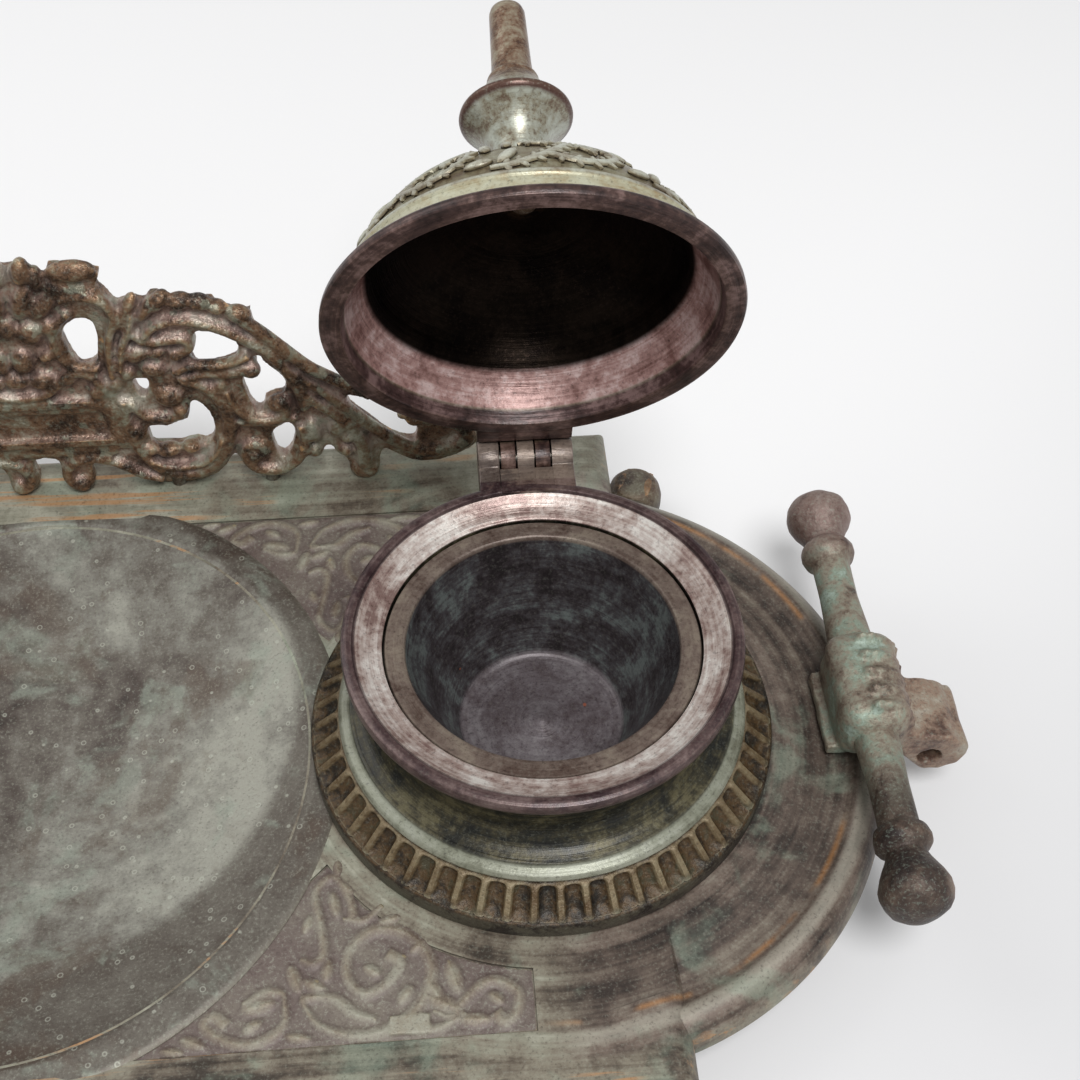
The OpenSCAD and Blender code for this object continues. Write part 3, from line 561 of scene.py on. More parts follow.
def strand(bm, points, widths, heights=None, sides=10, steps=5):
    """Sweep an oval along a path that lies about the XY plane."""
    path = flow(points, steps)
    heights = heights or widths
    last = len(path) - 1

    def share(values, i):
        t = i / last * (len(values) - 1)
        k = min(int(t), len(values) - 2)
        return values[k] + (values[k + 1] - values[k]) * (t - k)

    def ring_matrix(i):
        ahead = (path[min(i + 1, last)] - path[max(i - 1, 0)]).normalized()
        side = Vector((-ahead.y, ahead.x, 0)).normalized()
        up = ahead.cross(side)
        w, h = share(widths, i) / 2, share(heights, i) / 2
        turn = Matrix((side * w, up * h, ahead)).transposed().to_4x4()
        return Matrix.Translation(path[i]) @ turn

    verts = bmesh.ops.create_circle(bm, segments=sides, radius=1, matrix=ring_matrix(0))["verts"]
    edges = list({e for v in verts for e in v.link_edges})
    start = list(edges)
    for i in range(1, last + 1):
        made = bmesh.ops.extrude_edge_only(bm, edges=edges)
        verts = verts_of(made)
        edges = [part for part in made["geom"] if isinstance(part, bmesh.types.BMEdge)
                 and all(v in verts for v in part.verts)]
        change = ring_matrix(i) @ ring_matrix(i - 1).inverted()
        bmesh.ops.transform(bm, matrix=change, verts=verts)
    bmesh.ops.edgeloop_fill(bm, edges=start)
    bmesh.ops.edgeloop_fill(bm, edges=edges)


def blob(bm, centre, radii, turn=0.0, detail=2):
    """A rounded lump: a stretched ball, turned in the XY plane."""
    matrix = (Matrix.Translation(Vector(centre)) @ Matrix.Rotation(math.radians(turn), 4, "Z")
              @ Matrix.Diagonal((*radii, 1)))
    bmesh.ops.create_icosphere(bm, subdivisions=detail, radius=1, matrix=matrix)


def fringe(bm, points, width, z, radii, spacing=2.2):
    """Small leaflets along both sides of a scroll, slanting out from its path."""
    path, gone = flow([(x, y, z) for x, y in points], 6), 0.0
    for i in range(1, len(path) - 1):
        gone += (path[i] - path[i - 1]).length
        if gone > spacing:
            gone = 0.0
            along = (path[i + 1] - path[i - 1]).normalized()
            for side in (-1, 1):
                out = Vector((-along.y, along.x, 0)) * side
                slant = (along * 0.5 + out).normalized()
                place = path[i] + out * width
                blob(bm, place, radii, math.degrees(math.atan2(slant.y, slant.x)), 1)


def slab(bm, low, high):
    """A box between two corners."""
    low, high = Vector(low), Vector(high)
    matrix = Matrix.Translation((low + high) / 2) @ Matrix.Diagonal((*(high - low), 1))
    bmesh.ops.create_cube(bm, size=1, matrix=matrix)


print("a path through 3 points has", len(flow([(0, 0), (1, 1), (2, 0)])), "points")

# %% Casting and finishing
def evaluated(bm, add_modifiers):
    """A bmesh with modifiers applied; the input is used up."""
    mesh = bpy.data.meshes.new("work")
    bm.to_mesh(mesh)
    bm.free()
    obj = bpy.data.objects.new("work", mesh)
    bpy.context.scene.collection.objects.link(obj)
    add_modifiers(obj)
    shape = obj.evaluated_get(bpy.context.evaluated_depsgraph_get())
    result = bmesh.new()
    result.from_mesh(shape.to_mesh())
    shape.to_mesh_clear()
    bpy.data.objects.remove(obj)
    bpy.data.meshes.remove(mesh)
    return result


def fused(bm, voxel, soften=3):
    """Melt overlapping closed forms into one cast skin."""
    def add(obj):
        melt = obj.modifiers.new("melt", "REMESH")
        melt.mode, melt.voxel_size = "VOXEL", voxel
        smooth = obj.modifiers.new("soften", "SMOOTH")
        smooth.factor, smooth.iterations = 0.5, soften
    return evaluated(bm, add)


def joined(bm, other, operation):
    """Boolean of two closed forms; both inputs are used up."""
    mesh = bpy.data.meshes.new("tool")
    other.to_mesh(mesh)
    other.free()
    tool = bpy.data.objects.new("tool", mesh)
    bpy.context.scene.collection.objects.link(tool)

    def add(obj):
        cut = obj.modifiers.new("cut", "BOOLEAN")
        cut.operation, cut.object, cut.solver = operation, tool, "EXACT"
    result = evaluated(bm, add)
    bpy.data.objects.remove(tool)
    bpy.data.meshes.remove(mesh)
    return result


def flipped(bm, x=1, y=1, z=1):
    """Mirror or stretch a form in place; finished() turns mirrored faces out again."""
    bmesh.ops.scale(bm, vec=(x, y, z), verts=bm.verts)
    return bm


def rotated(bm, angle, axis, centre=(0, 0, 0)):
    bmesh.ops.rotate(bm, cent=centre, matrix=Matrix.Rotation(angle, 3, axis), verts=bm.verts)
    return bm


def added(bm, other):
    """Put one form's mesh beside another's; the second input is used up."""
    mesh = bpy.data.meshes.new("part")
    other.to_mesh(mesh)
    other.free()
    bm.from_mesh(mesh)
    bpy.data.meshes.remove(mesh)
    return bm


def copied(bm):
    """Copy a whole form inside itself, and give the copy's vertices."""
    return verts_of(bmesh.ops.duplicate(bm, geom=bm.verts[:] + bm.edges[:] + bm.faces[:]))


def finished(name, bm, body, material, at=(0, 0, 0), stands_for=(), smooth=32):
    """Place a form, scale it to metres, attach it to its body and hide the solids it stands for.
    """
    bmesh.ops.remove_doubles(bm, verts=bm.verts, dist=0.002)
    outward(bm)
    moved(bm, at)
    bmesh.ops.scale(bm, vec=(MM, MM, MM), verts=bm.verts)
    mesh = bpy.data.meshes.new(name)
    bm.to_mesh(mesh)
    bm.free()
    mesh.shade_smooth()
    mesh.set_sharp_from_angle(angle=math.radians(smooth))
    piece = bpy.data.objects.new(name, mesh)
    bpy.context.scene.collection.objects.link(piece)
    piece.data.materials.append(material)
    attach(piece, body)
    for node in stands_for:
        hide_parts(node)
    print(name, len(mesh.polygons), "faces")


def on_wells(title, make, body, material, node, smooth):
    """Finish one piece on each well; {} in a name stands for the side."""
    for name, side in SIDES.items():
        finished(title.format(name), make(), body.format(name), material,
                 (side * WELL_X, WELL_Y, PLATE_Z), [node.format(name)], smooth)


TRAY = (0, middle("base_tray").y, PLATE_Z)
print("tray's middle at", TRAY)

# %% [markdown]
# ## Tray
# The tray is one casting. Its straight middle has a rounded nose and a raised
# border that slopes down to a sunk field, and a round lobe with an ogee edge
# carries each well. Each form is simple by itself, so a block, two spun lobes, a
# bowl, and the cuts for field, dish and panels are joined with booleans, like
# the solid.

# %% The tray
tray_low, tray_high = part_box("base_tray")
HALF_Y = (tray_high.y - tray_low.y) / 2 / MM
BORDER_H = tray_high.z / MM - PLATE_Z
HALF_X = WELL_X + 19.0
LOBE_R = tray_high.x / MM - WELL_X
FIELD_R, LINE_Y, RETURN_W = LOBE_R - 8.5, 54.5, 8.0
DISH_R, DISH_DEPTH, PLATE_T = 51.5, 9.0, 6.0
DISH_LONG, DISH_SHIFT = 54.5 / DISH_R, 0.5  # the bowl is a little longer than wide
RECESS = 0.35  # how deep the panels are let in


def straight_block():
    """The straight middle, with a rounded nose and a softened foot."""
    bm = bmesh.new()
    slab(bm, (-HALF_X, -HALF_Y, -PLATE_T), (HALF_X, HALF_Y, BORDER_H))
    bevelled(bm, [e for e in bm.edges if all(v.co.z > 0 for v in e.verts)], 5, 8, False)
    foot = [e for e in bm.edges if all(v.co.z < -PLATE_T + 0.1 for v in e.verts)]
    bevelled(bm, foot, 1, 2, False)
    return bm


def field_cut():
    """The sunk field, whose sides slope up to the border."""
    bm = bmesh.new()
    half_x = HALF_X - RETURN_W - 5
    slab(bm, (-half_x, -LINE_Y, 0), (half_x, LINE_Y, 2.4))
    top = [f for f in bm.faces if f.normal.z > 0.9]
    for vert in top[0].verts:
        vert.co.x += math.copysign(10, vert.co.x)
        vert.co.y += math.copysign(10, vert.co.y)
    return bm


def filled(bm, loops, low, high):
    """Fill outlines with their holes as one face, and push it from low to high."""
    for loop in loops:
        ring = [bm.verts.new((x, y, low)) for x, y in loop]
        for a, b in zip(ring, ring[1:] + ring[:1]):
            bm.edges.new((a, b))
    bmesh.ops.triangle_fill(bm, use_beauty=True, use_dissolve=False, edges=bm.edges[:])
    made = bmesh.ops.extrude_face_region(bm, geom=bm.faces[:])
    bmesh.ops.translate(bm, vec=(0, 0, high - low), verts=verts_of(made))
    return outward(bm)


def arc(centre, radius, start, end, steps):
    """Points on an arc, with angles in degrees."""
    angles = [math.radians(start + (end - start) * i / steps) for i in range(steps + 1)]
    return [(centre[0] + radius * math.cos(a), centre[1] + radius * math.sin(a))
            for a in angles]


PANEL_POINT = 27.2, 148.6  # where the panel ends in a point: its angle from dish and well


def panel_loop(gap=0.0):
    """A panel's outline: round the dish, along the border, up its end and round the well."""
    top, end = LINE_Y - 0.5 - gap, 87 - gap
    dish, well = DISH_R + 6 + gap, 44 + gap
    near = arc((0, 0), dish, math.degrees(math.asin(top / dish)), PANEL_POINT[0], 14)
    last = 180 - math.degrees(math.acos((WELL_X - end) / well))
    return near + arc((WELL_X, 0), well, PANEL_POINT[1], last, 12) + [(end, top)]


def turned_form(outline, x=0.0, steps=160):
    bm = bmesh.new()
    spun(bm, outline, steps)
    return moved(bm, (x, 0, 0))


LOBE_EDGE = [(0, -6)] + [(LOBE_R - inwards, z) for inwards, z in (
    (0.6, -6), (0, -5.2), (0.1, -4.0), (0.6, -2.6), (1.6, -1.2), (2.9, -0.3), (4.2, 0.1),
    (5.2, 0.05), (5.9, -0.35), (6.4, -0.85), (7.4, -1.1), (9.5, -1.05), (12.5, -0.7),
    (15.5, -0.25), (18, 0))] + [(0, 0)]


def oval(bm):
    """Stretch a turned form into the dish's slight oval."""
    return moved(flipped(bm, 1, DISH_LONG), (0, DISH_SHIFT, 0))


def dish_outline(grow):
    """Half of the bowl's section: part of a ball, grown outwards for the underside."""
    ball = (DISH_R ** 2 + DISH_DEPTH ** 2) / (2 * DISH_DEPTH)
    reach = math.asin(min(0.9, (DISH_R + grow) / (ball + grow)))
    return [((ball + grow) * math.sin(reach * i / 24),
             ball - DISH_DEPTH - (ball + grow) * math.cos(reach * i / 24)) for i in range(25)]


tray = joined(straight_block(), field_cut(), "DIFFERENCE")
for outline, steps, operation in (
        ([(0, 0), (FIELD_R, 0), (FIELD_R, 3), (0, 3)], 160, "DIFFERENCE"),
        (LOBE_EDGE, 200, "UNION")):
    for side in (-1, 1):
        tray = joined(tray, turned_form(outline, side * WELL_X, steps), operation)
tray = joined(tray, oval(turned_form(dish_outline(3) + [(DISH_R + 3, -5), (0, -5)])), "UNION")
tray = joined(tray, oval(turned_form(dish_outline(0) + [(DISH_R, 4), (0, 4)], steps=200)),
              "DIFFERENCE")
for side in (-1, 1):
    for row in (-1, 1):
        recess = flipped(filled(bmesh.new(), [panel_loop()], -RECESS, 2), side, row)
        tray = joined(tray, outward(recess), "DIFFERENCE")
finished("tray", tray, "stand", tray_finish, TRAY, ["base_tray"])

# %% [markdown]
# ## Dish lining
# The dish has its own colour, a mottled grey with tiny acid rings, and a thin
# rolled rim. It is the same casting on the real stand. A separate thin skin that
# follows the bowl takes that finish without painting the rest of the tray.

# %% The dish
bowl = dish_outline(0)
rim = [(DISH_R - 0.1, -0.05), (DISH_R + 0.3, 0.25), (DISH_R + 0.9, 0.45), (DISH_R + 1.7, 0.35),
       (DISH_R + 3.5, 0.3), (DISH_R + 4.6, 0.45), (DISH_R + 5.4, 0.3), (DISH_R + 5.9, -0.1)]
dish_skin = [(r, z + 0.06) for r, z in bowl[:-1]] + rim
under = [(r, z - 0.5) for r, z in reversed(dish_skin)]
finished("dish", oval(turned_form(dish_skin + under, steps=200)), "stand",
         dish_finish, TRAY)

# %% [markdown]
# ## Foot rings
# Each well stands on a ring with 56 hollow flutes between sharp ridges, over a
# plain dark plinth. The ring is a turned form first. Then each vertex of its
# slope moves in by a rounded amount that depends on its angle, so the flutes
# fade out under the bead at the top and over the plinth at the bottom.

# %% Foot rings
FLUTES, FLUTE_DEPTH = 56, 1.6
FLUTE_SHARE = 0.78  # how much of each repeat is hollow; the rest is its ridge


def flute(angle, z):
    """How far a flute cuts in at this angle and height."""
    across = (angle * FLUTES / math.tau) % 1.0 * 2 - 1
    hollow = math.sqrt(max(0.0, 1 - (across / FLUTE_SHARE) ** 2))
    fade = min(1.0, max(0.0, (z - 3.8) / 0.3)) * min(1.0, max(0.0, (8.1 - z) / 0.9))
    return FLUTE_DEPTH * hollow * fade


def fluted_ring():
    """The turned ring, with its slope pushed in at every flute."""
    bm = bmesh.new()
    slope = [(slope_radius(z), z) for z in (3.9, 4.2, 4.6, 5.2, 5.8, 6.4, 6.9, 7.4, 7.8)]
    spun(bm, [(22, 0), (40, 0), (40.3, 0.4), (40.25, 3.2), (39.95, 3.6), (39.5, 3.7),
              (39.7, 3.8)] + slope + [(35.3, 8.0), (34.6, 8.05), (22, 8.05)], FLUTES * 10)
    for vert in bm.verts:
        radius = math.hypot(vert.co.x, vert.co.y)
        if radius > 34 and vert.co.z > 3.85:
            cut = flute(math.atan2(vert.co.y, vert.co.x), vert.co.z)
            vert.co.xy *= (radius - cut) / radius
    return bm


on_wells("fluted_ring_{}", fluted_ring, "stand", ring_finish, "foot_ring_{}", 50)

# %% [markdown]
# ## Wells
# A well is a waisted turned shell. Its rim has a fine bead and a face that
# dips towards the liner, with thin turned lines. The hinge lug behind it is a
# row of flat castings between two slots. Each is an outline in the hinge's
# own section, pushed out along the pin.

# %% Wells
def pushed(bm, outline, low, high, round_off=0.25):
    """Push a closed (y, z) outline out along X, and soften its edges."""
    first = len(bm.verts)
    face = bm.faces.new([bm.verts.new((low, y, z)) for y, z in outline])
    made = bmesh.ops.extrude_face_region(bm, geom=[face])
    bmesh.ops.translate(bm, vec=(high - low, 0, 0), verts=verts_of(made))
    bm.verts.ensure_lookup_table()
    mine = set(bm.verts[first:])
    edges = [e for e in bm.edges if e.verts[0] in mine and len(e.link_faces) == 2
             and e.calc_face_angle(0) > 0.6]
    if round_off:
        bevelled(bm, edges, round_off, 2)


WELL = [(22, 8), (34.3, 8), (34.85, 8.3), (35.0, 8.8), (34.8, 9.3), (34.2, 9.65), (33.4, 9.75),
        (33.1, 10.0), (32.9, 10.35), (32.2, 10.55), (31.2, 10.8), (30.2, 11.5), (29.3, 12.6),
        (28.8, 13.8), (28.5, 15.2), (28.45, 17.3), (28.6, 19.4), (29.1, 21.4), (29.9, 23.0),
        (31.0, 24.3), (31.9, 24.9), (32.2, 25.0), (32.35, 25.25), (32.8, 25.45), (33.0, 25.9),
        (33.05, 27.1), (32.85, 27.7), (32.35, 28.0), (31.6, 28.0), (31.25, 27.85),
        (31.1, 27.45), (30.85, 27.4), (30.7, 27.55), (30.4, 27.35), (29.7, 26.8), (28.6, 26.2),
        (27.6, 25.8), (26.8, 25.62), (26.45, 25.4), (26.4, 23.5), (24.2, 23.5), (24.2, 20.5),
        (22, 13)]
PIN_AT = (40, 27)  # the hinge pin, behind the well's axis and over the tray
KNUCKLE = arc(PIN_AT, 3.2, -50, 150, 16)
FIXED = [(30.8, 20.8), (46, 20.8), (46, 26.1), (43.7, 26.1), (43.6, 24.0)] + KNUCKLE + [
    (37.0, 27.97), (30.8, 27.97)]
SLOTTED = [(30.8, 20.8), (46, 20.8), (46, 26.1), (43.7, 26.1), (43.6, 23.4), (36.4, 23.4),
           (36.4, 27.97), (30.8, 27.97)]


def well_form():
    bm = bmesh.new()
    spun(bm, WELL, 180)
    for low, high in ((-8.5, -4.72), (-1.48, 1.48), (4.72, 8.5)):
        pushed(bm, FIXED, low, high)
    for low, high in ((-4.7, -1.5), (1.5, 4.7)):
        pushed(bm, SLOTTED, low, high)
    return bm


on_wells("waisted_well_{}", well_form, "stand", well_finish, "well_body_{}", 38)

# %% [markdown]
# ## Ink liners
# The liner is a thin turned cup that hangs by its flange. The flange has a
# crisp edge with a dark gap round it, and the floor keeps the small centre mark
# of the lathe, so it is spun from one closed outline.

# %% Liners
LINER = [(0, 1), (14.0, 1), (14.7, 1.7), (23.85, 23.45), (26.1, 23.45), (26.15, 24.7),
         (25.95, 24.98), (23.3, 25.0), (22.9, 24.85), (22.7, 24.5), (22.45, 22.6), (18.4, 12.8),
         (14.4, 3.1), (14.0, 2.5), (13.4, 2.3), (12.9, 2.2), (0.9, 2.2), (0.7, 2.35), (0, 2.38)]
on_wells("ink_cup_{}", lambda: turned_form(LINER), "liner_{}", cup_finish,
         "liner_{}", 40)

# %% [markdown]
# ## Domed lids
# A lid has a dark lip, a bright plain band, and a wreath of scrolls in low
# relief up to the crown. The scrolls are drawn flat, as a strip one repeat
# long, and then every vertex is wrapped round the dome by formula. Each lid is
# modelled shut and turned back about its hinge pin to where the frame has it.

# %% Lid helpers
CROWN_Z = 54.5  # height of the shut lid's top over the tray


def dome_point(around, up, out):
    """Wrap: around and up are millimetres on the dome, out is its relief."""
    wide, tall, base = DOME
    lift = up / 27.0
    angle = around / wide
    radius = (wide + out) * math.cos(lift)
    return Vector((radius * math.cos(angle), radius * math.sin(angle),
                   base + (tall + out) * math.sin(lift)))


def opened(bm):
    """Turn a shut lid's form back about the pin."""
    return rotated(bm, -OPEN, "X", (0, *PIN_AT))


LID = [(30.3, 28.3), (32.9, 28.3), (33.4, 28.4), (33.62, 28.8), (33.6, 29.7), (33.3, 30.15),
       (32.6, 30.4), (31.9, 30.5), (31.6, 30.75), (31.4, 31.2), (30.9, 31.4), (30.5, 31.5),
       (30.2, 31.7)]
LID += [tuple(dome_point(0, up, out).xz) for up, out in
        [(up, 0) for up in (3.2, 4.6, 6.0)] + [(6.3, 0.3), (6.9, 0.4), (7.4, 0.3), (7.6, -0.2)]
        + [(up, -0.25) for up in (10, 13, 17, 21, 25, 29, 33)]]
LID += [(7.4, CROWN_Z - 0.55), (7.2, CROWN_Z - 0.1), (6.6, CROWN_Z), (2.05, CROWN_Z),
        (2.05, CROWN_Z - 2.2), (5.0, CROWN_Z - 2.25)]
LID += [(28 * math.cos(a), DOME[2] + 23 * math.sin(a)) for a in
        map(math.radians, (72, 62, 52, 42, 33, 26))]
LID += [(25.9, 37.3), (26.6, 36.6), (28.3, 34.2), (29.2, 32.2), (29.9, 30.4), (30.1, 28.9)]
LEAF = [(30.9, 28.62), (36.4, 28.62)] + arc(PIN_AT, 3.65, 153, 66, 8) + [
    (41.5, 32.55), (33.0, 32.55), (30.9, 30.6)]
print("lid outline", len(LID), "points, crown at", CROWN_Z)

# %% The lids
REPEATS = 7
REPEAT = DOME[0] * math.tau / REPEATS


def wreath():
    """One closed relief wreath, wrapped round the dome."""
    bm = bmesh.new()
    scroll = [(0, 9), (4, 9.5), (9, 12.5), (13, 17.5), (14.5, 22.5), (12, 26), (8, 26), (6, 23),
              (7, 20), (9.6, 19.6), (10.4, 21.6)]
    counter = [(9, 12.5), (14, 10.5), (19, 11.5), (22, 15), (21.5, 19), (18.5, 20.6),
               (16.4, 18.6), (17.2, 16.4), (18.9, 16.6)]
    for i in range(REPEATS):
        x = i * REPEAT
        for path, wide in ((scroll, (1.0, 1.9, 1.8, 1.5, 1.2, 1.5)),
                           (counter, (1.5, 1.7, 1.4, 1.2, 1.5))):
            strand(bm, [(x + a, b, 0.0) for a, b in path], wide, [0.95] * 2, sides=8, steps=4)
            fringe(bm, [(x + a, b) for a, b in path], 0.9, 0.0, (1.3, 0.6, 0.5), 2.0)
        for a, b, long, wide, turn in ((2.6, 13, 3.0, 1.2, 62), (24.6, 20, 3.6, 1.3, 110),
                                       (13, 29, 2.8, 1.2, 20), (5, 29.5, 2.6, 1.1, 150),
                                       (19, 25, 2.8, 1.2, 48), (25, 11, 2.6, 1.0, 12),
                                       (1.8, 22, 3.4, 1.3, 98), (22.5, 29, 2.4, 1.0, 130)):
            blob(bm, (x + a, b, 0.0), (long, wide, 0.65), turn)
    for vert in bm.verts:
        vert.co = dome_point(*vert.co)
    return bm


def lid_form():
    """Dome and wreath, the leaf behind them and two knuckles between the well's."""
    bm = bmesh.new()
    spun(bm, LID, 180)
    added(bm, wreath())
    moved(bm, (LID_SIDE, 0, 0))
    pushed(bm, LEAF, -8.5, 8.5)
    for x in (-3.1, 3.1):
        pushed(bm, arc(PIN_AT, 3.2, 5, 365, 28)[:-1], x - 1.3, x + 1.3, 0.15)
        pushed(bm, [(38.0, 28.0), (41.4, 28.0), (41.4, 31.6), (38.0, 31.6)], x - 1.3, x + 1.3, 0)
    return opened(bm)


on_wells("domed_lid_{}", lid_form, "lid_{}", lid_finish, "lid_{}", 38)

# %% [markdown]
# ## Finials
# The finial is turned: a trumpet foot swells into a wide disc with a rounded
# rim, and a slightly tapering post rises from a soft cone above it. It is
# spun on the crown of the shut lid and turned back with it.

# %% Finials
FINIAL = [(0, -2.6), (2, -2.6), (2, -0.3), (5.0, 0), (5.25, 0.4), (5.2, 1.1), (4.7, 1.7),
          (4.3, 2.4)]
FINIAL += [(3.8 + 5.9 * t ** 3.0, 3.2 + 12.0 * t) for t in
           (0.05, 0.2, 0.35, 0.5, 0.62, 0.72, 0.8, 0.87, 0.93, 0.975)]
FINIAL += [(9.62, 15.3), (9.7, 15.7), (9.6, 16.1), (9.1, 16.5), (8.2, 17.2), (7.0, 18.4),
           (6.0, 19.9), (5.2, 21.6), (4.6, 22.7), (4.45, 23.2), (4.5, 23.6), (4.35, 24.0),
           (3.85, 24.3), (3.6, 24.9), (3.45, 28), (3.2, 37.6), (3.15, 38.8), (2.9, 39.6),
           (2.3, 40.0), (1.2, 40.05), (0, 40.0)]
on_wells("turned_finial_{}",
         lambda: opened(moved(turned_form(FINIAL, steps=72), (LID_SIDE, 0, CROWN_Z))),
         "lid_{}", finial_finish, "finial_{}", 40)

# %% [markdown]
# ## Scroll panels
# Four panels of low foliate relief lie between the dish, the wells and the
# straight borders. On the real casting the scrolls stand under a millimetre
# high, soft and slightly worn. Each panel is a thin ground with tapering
# strands and leaf blobs on it, melted together so that the joins are soft.

# %% Panel relief
PANEL_TOP = LINE_Y - 0.6
GROUND, VEIN = -0.3, 0.05  # heights of the ground and of the veins, from the tray's plate
VOLUTES = [  # path in X and distance from the middle line, then its widths
    ([(50.5, 46.2), (53.6, 50.7), (59.7, 52.6), (65.9, 51.2), (70.1, 46.6), (70.8, 41.1),
      (67.3, 36.3), (61.9, 35.3), (58.2, 38.5), (57.7, 42.9), (60.3, 45.9), (63.9, 44.5),
      (66.1, 41.3), (64, 39.5)], (0.8, 1.7, 1.9, 1.9, 1.7, 1.5, 1.5, 1.9)),
    ([(71, 49.5), (73.8, 50.6), (75.8, 48.2), (80.1, 45.2), (84.2, 47.2), (84, 50.6),
      (81.9, 52), (80.6, 50.4)], (0.8, 1.4, 1.7, 1.6, 1.9)),
    ([(47.9, 44.9), (48, 50), (44.1, 52.6), (39.6, 52.2), (35.8, 49.4), (37.2, 47.9),
      (39.3, 49.6)], (0.8, 1.6, 1.7, 1.5, 1.8)),
    ([(50.3, 39.5), (52.4, 40.3), (54, 38.7), (53.4, 33.5), (52.6, 28.1), (55.5, 25.3),
      (58.2, 29.7), (58.7, 32.7)], (1.2, 1.5, 1.3, 1.2, 1.3)),
    ([(62.3, 50.3), (58.7, 49), (56.1, 46.6), (53, 45.9), (50.5, 46.2)], (1.2, 1.8, 1.4, 1.2)),
    ([(64.5, 51.4), (68, 52.4), (72, 52.2), (76, 50.3)], (0.8, 1.4, 1.2, 0.8)),
    ([(47.9, 44.9), (45, 44.6), (41.5, 46.4)], (1.2, 1.6, 0.7)),
    ([(57, 33), (60.5, 33.4), (63.5, 31)], (0.8, 1.3, 0.8))]
LEAVES = [  # centre, half length, half width and turn
    (44, 46.8, 2.6, 1, -12), (49.5, 42.7, 2.4, 0.9, 70), (72.6, 48.4, 3, 1.1, 28),
    (74.4, 44.2, 2.8, 1.1, 75), (71.2, 46, 2.4, 0.9, 60), (77.4, 51.4, 2.6, 0.9, 5),
    (66.8, 46.6, 1.8, 0.8, -50), (61.6, 42.2, 1.5, 0.8, 30), (52.6, 44, 2, 0.8, 25),
    (55.7, 30.3, 2.2, 0.8, 80), (57.6, 27.6, 1.6, 0.7, 45), (56.2, 23.9, 1.5, 0.7, 90),
    (51.4, 33.6, 1.6, 0.7, 110), (34.2, 51.9, 2, 0.8, 20), (31.2, 53.1, 1.8, 0.6, 8),
    (43.2, 50, 1.6, 0.8, -30), (80.9, 48.2, 1.4, 0.8, 40), (54.6, 41.6, 1.8, 0.8, 100),
    (68.9, 38.6, 1.5, 0.7, 140), (64.6, 33.7, 1.8, 0.8, 165), (50.2, 52.3, 2, 0.7, 10)]


def panel_frame(bm):
    """A fine raised line just inside the panel's edge."""
    dish, line = DISH_R + 6.9, PANEL_TOP - 0.8
    along_dish = arc((0, 0), dish, math.degrees(math.asin(PANEL_TOP / dish)) - 1, 27.5, 12)
    for points in (along_dish, [(80, line), (50, line), (25, line)],
                   [(86.1, 44.8), (86.1, 49), (86.1, line)],
                   [(86.1, line), (82, line), (79, line)]):
        strand(bm, [(x, y, -0.42) for x, y in points], [0.55] * 2, [0.5] * 2, 6, 3)


def panel_form(lozenge=False):
    """Ground, broad soft scrolls and leaves, and a sharp vein on top of each."""
    bm = filled(bmesh.new(), [panel_loop(0.1)], -0.62, -0.28)
    for points, widths in VOLUTES:
        strand(bm, [(x, y, GROUND) for x, y in points], [w * 1.5 for w in widths],
               [0.7] + [0.9] * 4 + [1.2], 8, 4)
        strand(bm, [(x, y, VEIN) for x, y in points], [w * 0.3 for w in widths], [0.5] * 2, 6, 4)
    for x, y, long, wide, turn in LEAVES:
        blob(bm, (x, y, GROUND), (long * 1.25, wide * 1.5, 0.55), turn)
        blob(bm, (x, y, VEIN), (long * 1.05, wide * 0.25, 0.35), turn)
    panel_frame(bm)
    if lozenge:
        slab(bm, (64.3, 49.9, -0.5), (70.5, 52.9, 0.3))
    return fused(bm, 0.28, 1)


for name, side in SIDES.items():
    for row_name, row in ROWS.items():
        relief = flipped(panel_form((name, row_name) == ("right", "front")), side, row)
        finished(f"scrolls_{row_name}_{name}", relief, "stand", panel_finish,
                 TRAY, [f"scroll_panel_{row_name}_{name}"], smooth=60)

# %% [markdown]
# ## Gallery
# The back gallery is a thick pierced casting of acanthus scrolls, lumpy and
# rounded, with a leaf at its centre. It is drawn lying flat. One outline with
# its holes gives the pierced plate, strands give the ribs, and blobs give leaf
# tips and beads. A voxel remesh melts them into one skin that then stands up.

